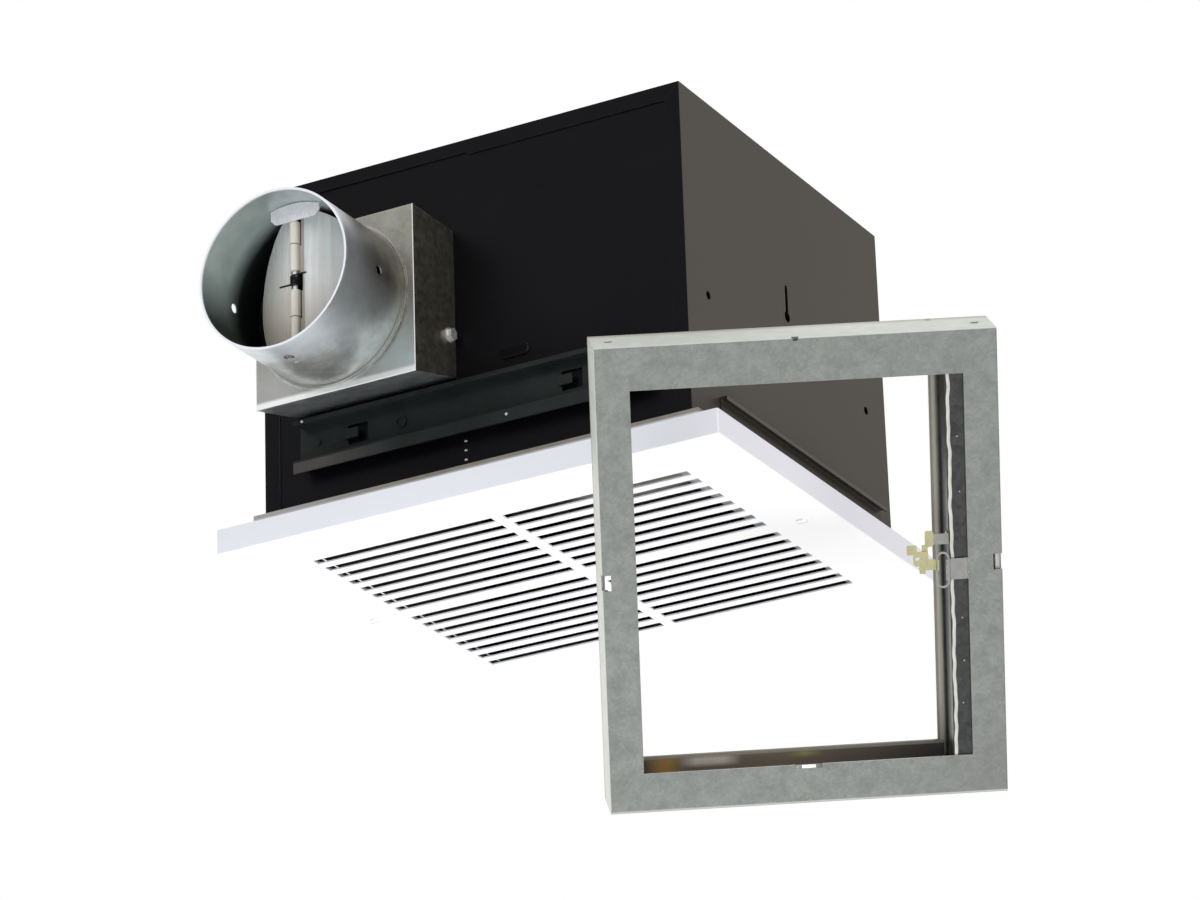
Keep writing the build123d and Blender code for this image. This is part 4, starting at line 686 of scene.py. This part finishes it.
def lead_finish(settings):
    """The lead blade: dark rolled zinc, with painted light beside the folds, paler towards the bottom."""
    finish = Finish("Lead zinc")
    crystals = finish.effect("Zinc crystals", "Tone", Size=settings.crystal)
    finish.tone = finish.mix(crystals, (0.056, 0.058, 0.058), (0.104, 0.107, 0.104))
    # Painted light beside the folds, where the blade lies in shade; paler towards the bottom
    beside = finish.fade(FRAME_RIGHT, *framed(FRAME_RIGHT, 81.3, 80.3))
    lower = finish.fade(FRAME_UP, *framed(FRAME_UP, 100.0, -60.0))
    finish.over(beside, finish.mix(lower, (0.320, 0.315, 0.280), (0.540, 0.530, 0.475)))
    finish.colour(finish.tone)
    finish.set("Metallic", 0.9)
    finish.set("Roughness", finish.range(crystals, 0.0, 1.0, 0.30, 0.45))
    finish.bump(finish.effect("Zinc crystals", "Height", Size=settings.crystal), 0.06 * MM, 0.18)
    return finish.material


def white_finish(settings):
    """Gloss white, with painted shade in a faint lilac on the front and right lips of the grille."""
    finish = Finish("White enamel")
    peel = finish.effect("Soft patches", Size=2.6 * MM, Edge=0.3)
    settled = tuple(part * 0.97 for part in settings.grille_white)
    broad = finish.effect("Soft patches", Size=60 * MM, Edge=0.3)
    finish.tone = finish.mix(broad, settled, settings.grille_white)
    # Painted shade: the lips that face front and right take a faint lilac grey
    finish.over(finish.facing(FRONT), (0.670, 0.685, 0.735))
    finish.over(finish.facing(RIGHT), (0.900, 0.890, 0.960))
    finish.colour(finish.tone)
    finish.set("Roughness", 0.34)
    finish.set("Specular IOR Level", 0.3)
    finish.bump(peel, 0.03 * MM, 0.06)
    return finish.material


def plated_finish(name, tone, metallic=1.0, roughness=(0.18, 0.34), size=0.9):
    """Small plated or cast pieces: one tone with fine drawn lines and dulled patches."""
    finish = Finish(name)
    patches = finish.effect("Soft patches", Size=6 * MM, Edge=0.2)
    grain = finish.effect("Drawn grain", Size=size * MM, Stretch=(1.0, 1.0, 0.2))
    dulled = tuple(part * 0.62 for part in tone)
    finish.colour(finish.mix(finish.range(patches, 0.0, 1.0, 0.0, 0.5), tone, dulled))
    finish.set("Metallic", metallic)
    finish.set("Roughness", finish.range(grain, 0.0, 1.0, *roughness))
    finish.bump(grain, 0.02 * MM, 0.15)
    return finish.material


def moulded_finish(name, tone, roughness=0.5):
    """Rubber and moulded plastic: a faint grain and slightly uneven tone."""
    finish = Finish(name)
    patches = finish.effect("Soft patches", Size=9 * MM, Edge=0.3)
    finish.colour(finish.mix(patches, tuple(part * 0.85 for part in tone), tone))
    finish.set("Roughness", roughness)
    finish.bump(finish.effect("Soft patches", Size=0.5 * MM, Edge=0.3), 0.02 * MM, 0.2)
    return finish.material


# Dressing the nodes

def smooth_rounds(node, angle=28.0):
    """Rounds read as rounds, while the bends stay crisp."""
    for face in node.data.polygons:
        face.use_smooth = True
    weld = node.modifiers.new("Weld", "WELD")
    weld.merge_threshold = 0.002 * MM
    split = node.modifiers.new("Crisp bends", "EDGE_SPLIT")
    split.split_angle = math.radians(angle)


def dress(names, material):
    for name in names:
        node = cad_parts[name]
        if not node.material_slots:
            node.data.materials.append(material)
        for slot in node.material_slots:
            slot.material = material
        smooth_rounds(node)


def new_piece(name, mesh, material, body="root"):
    """A scene-made piece that rides on a body."""
    data = bpy.data.meshes.new(name)
    mesh.to_mesh(data)
    mesh.free()
    data.materials.append(material)
    piece = bpy.data.objects.new(name, data)
    bpy.context.scene.collection.objects.link(piece)
    for face in data.polygons:
        face.use_smooth = True
    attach(piece, body)
    return piece


# Shapes of the small pieces

def turned(profile, place, direction, sides):
    """A round piece: pairs of radius and height, turned about a direction from a place."""
    turn = Vector(direction).to_track_quat("Z", "Y").to_matrix()
    mesh = bmesh.new()
    rings = []
    for radius, height in profile:
        if radius == 0.0:
            rings.append([mesh.verts.new(place + turn @ Vector((0.0, 0.0, height)))])
            continue
        angles = [2 * math.pi * index / sides for index in range(sides)]
        points = [Vector((radius * math.cos(angle), radius * math.sin(angle), height)) for angle in angles]
        rings.append([mesh.verts.new(place + turn @ point) for point in points])
    for below, above in zip(rings, rings[1:]):
        for index in range(sides):
            corners = [below[index % len(below)], below[(index + 1) % len(below)]]
            corners += [above[(index + 1) % len(above)], above[index % len(above)]]
            mesh.faces.new(dict.fromkeys(corners))
    return mesh


def stud(place, direction, radius, sides):
    """A pressed stud: a low collar and a crowned head."""
    shares = (
        (0.0, -0.3), (1.15, -0.3), (1.15, 0.08), (0.92, 0.14),
        (0.86, 0.42), (0.6, 0.66), (0.3, 0.76), (0.0, 0.8),
    )
    return turned([(radius * out, radius * up) for out, up in shares], place, direction, sides)


def bead(points, radius, outward, height=None, sides=8):
    """A rounded bead along a line of points, on a face that looks outward."""
    outward = Vector(outward).normalized()
    height = height or radius
    mesh = bmesh.new()
    rings = []
    for index, point in enumerate(points):
        before = points[max(index - 1, 0)]
        after = points[min(index + 1, len(points) - 1)]
        across = (after - before).cross(outward).normalized()
        ring = []
        for step in range(sides + 1):
            angle = math.pi * step / sides
            offset = across * radius * math.cos(angle) + outward * height * math.sin(angle) ** 0.5
            ring.append(mesh.verts.new(point + offset))
        rings.append(ring)
    for first, second in zip(rings, rings[1:]):
        for index in range(sides):
            mesh.faces.new((first[index], first[index + 1], second[index + 1], second[index]))
        mesh.faces.new((first[sides], first[0], second[0], second[sides]))
    mesh.faces.new(rings[0])
    mesh.faces.new(rings[-1][::-1])
    bmesh.ops.recalc_face_normals(mesh, faces=mesh.faces)
    return mesh


# Pieces

class FAN_OT_housing(bpy.types.Operator):
    """Finish the sheet-steel housing, and set the small studs on its front"""
    bl_idname = "exhaust_fan.housing"
    bl_label = "Housing"

    def execute(self, context):
        finish = context.scene.fan_finish
        trim = context.scene.fan_trim
        dress(["housing_wrap", "front_panel", "top_cover"], enamel_finish(finish))
        dress(["side_angles"], angle_finish())
        dress(["front_hanger_rail", "rear_hanger_rail"], rail_finish())
        dress(["ceiling_flange"], primer_finish(finish))
        dress(["housing_screws"], plated_finish("Dark screws", (0.090, 0.088, 0.085), 0.8, (0.3, 0.45)))
        bright = plated_finish("Bright studs", (0.640, 0.650, 0.680))
        front = Vector(FRONT)
        radius = trim.stud_radius
        for index in range(3):
            spot = Vector((-6.2, -127.3, 14.0 + 6.0 * index)) * MM
            head = stud(spot, front, radius, trim.sides)
            new_piece(f"lance_stud_{index + 1}", head, bright)
        for name, spot in (("lip_stud", (27.2, -138.0, 31.4)), ("rail_stud", (-111.8, -138.0, 59.2))):
            head = stud(Vector(spot) * MM, front, 0.8 * radius, trim.sides)
            new_piece(name, head, bright)
        # A thin lighter ridge on the front panel, just above the rail's top edge
        ridge = [Vector((x, -127.7, 61.9 - 0.03 * (x - 1.0))) * MM for x in (1.0, 9.0, 17.0, 25.0, 32.0)]
        ridge_tone = plated_finish("Pale ridge enamel", (0.080, 0.080, 0.084), 0.5, (0.25, 0.4))
        new_piece("panel_ridge", bead(ridge, 0.45 * MM, front), ridge_tone)
        return {"FINISHED"}


class FAN_OT_outlet(bpy.types.Operator):
    """Finish the outlet box, the collar and its backdraft damper"""
    bl_idname = "exhaust_fan.outlet"
    bl_label = "Outlet and backdraft damper"

    def execute(self, context):
        finish = context.scene.fan_finish
        dress(["duct_box"], box_finish(finish))
        dress(["duct_collar"], collar_finish())
        dress(["flap_left"], flap_finish("Left flap zinc", (1.000, 0.970, 0.900), (1.000, 0.950, 0.850), 0.0))
        right_tones = (0.920, 0.970, 1.000), (1.000, 0.900, 0.820)
        dress(["flap_right"], flap_finish("Right flap zinc", *right_tones, 0.15))
        bright = plated_finish("Bright bracket", (0.930, 0.920, 0.980), 0.55, (0.25, 0.32), 3.0)
        dress(["damper_bracket"], bright)
        dress(["damper_rod", "duct_box_screws"], plated_finish("Bright screws", (0.880, 0.880, 0.890), 0.7))
        dress(["damper_spring"], plated_finish("Black oxide", (0.016, 0.015, 0.014), 0.7, (0.35, 0.5)))
        return {"FINISHED"}


class FAN_OT_blower(bpy.types.Operator):
    """Finish the blower, the motor and the electrical pieces"""
    bl_idname = "exhaust_fan.blower"
    bl_label = "Blower and motor"

    def execute(self, context):
        finish = context.scene.fan_finish
        dress(
            [
                "scroll_wall", "scroll_bottom_plate", "scroll_top_plate", "inlet_ring", "blower_feet",
                "motor_plate", "capacitor_shelf", "wiring_box", "wiring_cover",
            ],
            zinc_finish(finish),
        )
        dress(["blower_wheel"], plated_finish("Wheel metal", (0.520, 0.530, 0.540), 1.0, (0.25, 0.40)))
        shell = plated_finish("Motor steel", (0.060, 0.062, 0.066), 0.6, (0.35, 0.5))
        dress(["motor_shell", "motor_end_cap"], shell)
        ground = plated_finish("Ground steel", (0.560, 0.550, 0.530))
        dress(["motor_shaft", "wheel_set_screw", "motor_bolts"], ground)
        dress(["motor_bushings"], plated_finish("Sintered bronze", (0.480, 0.340, 0.160), 0.9, (0.35, 0.5)))
        dress(["motor_grommets"], moulded_finish("Grommet rubber", (0.020, 0.020, 0.020), 0.7))
        dress(["capacitor"], plated_finish("Capacitor can", (0.620, 0.630, 0.640), 0.9, (0.25, 0.38)))
        dress(["receptacle", "motor_plug"], moulded_finish("Moulded white", (0.650, 0.640, 0.600)))
        return {"FINISHED"}


class FAN_OT_grille(bpy.types.Operator):
    """Finish the grille with its screws and clips, and lay the strips behind it, with dark strips of painted
    shade inside its ends
    """
    bl_idname = "exhaust_fan.grille"
    bl_label = "Grille"

    def execute(self, context):
        finish = context.scene.fan_finish
        dress(["grille", "grille_screws"], white_finish(finish))
        dress(["grille_clips"], plated_finish("Clip steel", (0.450, 0.450, 0.440)))
        grey = plated_finish("Grey strip", (0.360, 0.370, 0.375), 0.5, (0.35, 0.5), 2.0)
        pale = plated_finish("Pale wire", (0.820, 0.840, 0.850), 0.5)
        up = Vector(UP)
        strips = (("slot_strip_front", 122.4, 3.6, -106.0, -3.0), ("slot_strip_back", 124.1, 1.9, 6.0, 108.0))
        for name, x, half, start, end in strips:
            line = [Vector((x, y, -14.6)) * MM for y in (start, (start + end) / 2, end)]
            new_piece(name, bead(line, half * MM, up, 0.5 * MM), grey)
        wire_line = [Vector((-120.6, y, -14.6)) * MM for y in (-106.0, 0.0, 109.0)]
        new_piece("slot_wire", bead(wire_line, 0.55 * MM, up), pale)
        # Painted shade: a dark strip inside each end of the grille stands in for the shade seen through the
        # last slots
        shade_strip = moulded_finish("Shade strip", (0.060, 0.074, 0.070), 0.85)
        for name, y in (("grille_shade_strip_front", -128.8), ("grille_shade_strip_back", 128.8)):
            strip = [Vector((x, y, -14.6)) * MM for x in (-162.5, 0.0, 162.5)]
            new_piece(name, bead(strip, 3.5 * MM, up, 14.4 * MM, 12), shade_strip)
        return {"FINISHED"}


class FAN_OT_ceiling_damper(bpy.types.Operator):
    """Finish the ceiling damper's frame and folded curtain"""
    bl_idname = "exhaust_fan.ceiling_damper"
    bl_label = "Ceiling damper"

    def execute(self, context):
        finish = context.scene.fan_finish
        matt = matt_zinc_finish(finish)
        rails = [f"frame_rail_{side}" for side in ("top", "bottom", "left", "right")]
        dress(rails + ["frame_rivets"], matt)
        slats = [name for name in sorted(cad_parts) if name.startswith("curtain_slat_")]
        dress(slats + ["curtain_anchor"], curtain_finish(finish))
        dress(["lead_blade"], lead_finish(finish))
        pale = plated_finish("Pale lead marks", (0.520, 0.520, 0.480), 0.2, (0.35, 0.5), 2.0)
        # Painted highlight: a pale wavy bead along the lead blade's hem stands in for its bright highlight
        heights = [-126.0 + 1.5 * step for step in range(169)]
        waves = ((0.16, 1.9, 0.0), (0.22, 7.3, 0.0), (0.14, 3.1, 1.0))
        wobble = [sum(size * math.sin(z / length + start) for size, length, start in waves) for z in heights]
        wavy = [in_frame(82.8 + shift, 1.9, z) for shift, z in zip(wobble, heights)]
        new_piece("lead_hem_highlight", bead(wavy, 1.0 * MM, -FRAME_BACK, 0.5 * MM), pale, "lead")
        sides = context.scene.fan_trim.sides
        specks = ((87.7, -30.9), (88.2, -55.2), (87.1, -79.1), (88.0, 40.0), (87.4, 71.0))
        for index, (x, z) in enumerate(specks):
            mark = stud(in_frame(x, 1.9, z), -FRAME_BACK, 0.35 * MM, sides)
            new_piece(f"lead_speck_{index + 1}", mark, pale, "lead")
        lip = [in_frame(x, 0.45, -109.7) for x in (-7.3, 0.0, 7.3)]
        new_piece("slot_lip", bead(lip, 1.15 * MM, -FRAME_BACK, 0.4 * MM), matt)
        tab = [in_frame(x, 0.1, -109.6) for x in (-3.9, 0.0, 3.9)]
        white = moulded_finish("Pale tab", (0.900, 0.900, 0.880), 0.4)
        new_piece("slot_tab", bead(tab, 1.0 * MM, -FRAME_BACK, 0.35 * MM), white)
        return {"FINISHED"}


class FAN_OT_link(bpy.types.Operator):
    """Finish the fusible link, its strap, ring and clip"""
    bl_idname = "exhaust_fan.link"
    bl_label = "Fusible link"

    def execute(self, context):
        finish = context.scene.fan_finish
        brass = plated_finish("Tarnished brass", tuple(finish.brass), 0.9)
        dress(["link_plate_fixed", "link_plate_moving"], brass)
        dress(["link_strap", "link_ring", "link_clip"], plated_finish("Strap zinc", (0.500, 0.510, 0.480)))
        return {"FINISHED"}


# Stage

def aim(target, place, toward):
    target.location = place
    target.rotation_mode = "QUATERNION"
    target.rotation_quaternion = (Vector(toward) - Vector(place)).to_track_quat("-Z", "Y")


def add_lamp(name, place, toward, width, height, power):
    data = bpy.data.lights.new(name, "AREA")
    data.shape = "RECTANGLE"
    data.size = width
    data.size_y = height
    data.energy = power
    lamp = bpy.data.objects.new(name, data)
    bpy.context.scene.collection.objects.link(lamp)
    lamp.visible_camera = False
    lamp.visible_glossy = False
    aim(lamp, place, toward)
    return lamp


def white_room(settings):
    """The room: white where the camera, glass or a polished face sees it, and softer as light."""
    world = bpy.data.worlds.new("White room")
    bpy.context.scene.world = world
    world.use_nodes = True
    tree = world.node_tree
    background = tree.nodes["Background"]
    rays = tree.nodes.new("ShaderNodeLightPath")
    direction = tree.nodes.new("ShaderNodeTexCoord")
    dot = tree.nodes.new("ShaderNodeVectorMath")
    dot.operation = "DOT_PRODUCT"
    wire(tree, direction.outputs["Generated"], dot.inputs[0])
    dot.inputs[1].default_value = Vector((-0.35, -0.80, 0.48)).normalized()
    mirrored = ranged(tree, dot.outputs["Value"], 0.25, 0.75, 1.0, settings.front_glow)
    seen = math_node(tree, "MAXIMUM", rays.outputs["Is Camera Ray"], rays.outputs["Is Transmission Ray"])
    glossy = rays.outputs["Is Glossy Ray"]
    plain = math_node(tree, "MULTIPLY", math_node(tree, "SUBTRACT", 1.0, glossy), settings.sky)
    light = math_node(tree, "ADD", plain, math_node(tree, "MULTIPLY", glossy, mirrored))
    strength = math_node(tree, "MAXIMUM", seen, light)
    wire(tree, strength, background.inputs["Strength"])
    background.inputs["Color"].default_value = (1.0, 1.0, 1.0, 1.0)


def pale_floor(settings):
    """A pale floor that shows from above only."""
    mesh = bmesh.new()
    bmesh.ops.create_grid(mesh, x_segments=2, y_segments=2, size=settings.floor_reach)
    bmesh.ops.translate(mesh, verts=mesh.verts, vec=(0.0, 0.0, -settings.floor_drop))
    data = bpy.data.meshes.new("Floor")
    mesh.to_mesh(data)
    mesh.free()
    floor = bpy.data.objects.new("Floor", data)
    bpy.context.scene.collection.objects.link(floor)
    finish = Finish("Pale floor")
    patches = finish.effect("Soft patches", Size=0.4, Edge=0.4)
    finish.colour(finish.mix(patches, (0.86, 0.86, 0.86), (0.88, 0.88, 0.88)))
    finish.set("Roughness", 0.9)
    finish.set("Specular IOR Level", 0.0)
    finish.set("Emission Color", (1.0, 1.0, 1.0, 1.0))
    finish.set("Emission Strength", 0.16)
    tree = finish.tree
    clear = tree.nodes.new("ShaderNodeBsdfTransparent")
    sides = tree.nodes.new("ShaderNodeNewGeometry")
    chosen = tree.nodes.new("ShaderNodeMixShader")
    wire(tree, sides.outputs["Backfacing"], chosen.inputs[0])
    tree.links.new(finish.shader.outputs[0], chosen.inputs[1])
    tree.links.new(clear.outputs[0], chosen.inputs[2])
    tree.links.new(chosen.outputs[0], tree.nodes["Material Output"].inputs["Surface"])
    data.materials.append(finish.material)


class FAN_OT_stage(bpy.types.Operator):
    """Set up the floor, the lamps, the room and the camera"""
    bl_idname = "exhaust_fan.stage"
    bl_label = "Stage"

    def execute(self, context):
        settings = context.scene.fan_stage
        context.scene.view_settings.view_transform = "Standard"
        white_room(settings)
        pale_floor(settings)
        add_lamp("Key lamp", (-0.9, -2.6, 0.9), (0.0, 0.0, 0.0), 1.6, 1.2, settings.key)
        add_lamp("Low lamp", (0.5, -0.9, -1.45), (0.0, 0.0, 0.0), 1.8, 1.8, settings.low)
        data = bpy.data.cameras.new("Camera")
        data.lens = settings.lens
        data.clip_start = 0.05
        camera = bpy.data.objects.new("Camera", data)
        context.scene.collection.objects.link(camera)
        level, turn = settings.elevation, settings.azimuth
        forward = Vector((
            -math.sin(turn) * math.cos(level), math.cos(turn) * math.cos(level), -math.sin(level)
        ))
        aim(camera, settings.camera_place, Vector(settings.camera_place) + forward)
        roll = Euler((0.0, 0.0, settings.roll)).to_quaternion()
        camera.rotation_quaternion = camera.rotation_quaternion @ roll
        context.scene.camera = camera
        return {"FINISHED"}


class FAN_PT_panel(bpy.types.Panel):
    """Lists the steps that dress the fan"""
    bl_label = "Exhaust Fan"
    bl_idname = "FAN_PT_panel"
    bl_space_type = "VIEW_3D"
    bl_region_type = "UI"
    bl_category = "Exhaust Fan"

    def draw(self, context):
        for operator in OPERATORS:
            self.layout.operator(operator.bl_idname)
        for group in (context.scene.fan_finish, context.scene.fan_trim, context.scene.fan_stage):
            box = self.layout.box()
            for name in group.__annotations__:
                box.prop(group, name)


OPERATORS = (
    FAN_OT_housing,
    FAN_OT_outlet,
    FAN_OT_blower,
    FAN_OT_grille,
    FAN_OT_ceiling_damper,
    FAN_OT_link,
    FAN_OT_stage,
)
CLASSES = (FanFinishSettings, FanTrimSettings, FanStageSettings, *OPERATORS, FAN_PT_panel)


def register():
    for item in CLASSES:
        bpy.utils.register_class(item)
    bpy.types.Scene.fan_finish = PointerProperty(type=FanFinishSettings)
    bpy.types.Scene.fan_trim = PointerProperty(type=FanTrimSettings)
    bpy.types.Scene.fan_stage = PointerProperty(type=FanStageSettings)


def unregister():
    del bpy.types.Scene.fan_stage
    del bpy.types.Scene.fan_trim
    del bpy.types.Scene.fan_finish
    for item in reversed(CLASSES):
        bpy.utils.unregister_class(item)


def main():
    register()
    bpy.ops.exhaust_fan.housing()
    bpy.ops.exhaust_fan.outlet()
    bpy.ops.exhaust_fan.blower()
    bpy.ops.exhaust_fan.grille()
    bpy.ops.exhaust_fan.ceiling_damper()
    bpy.ops.exhaust_fan.link()
    bpy.ops.exhaust_fan.stage()


if __name__ == "__main__":
    main()
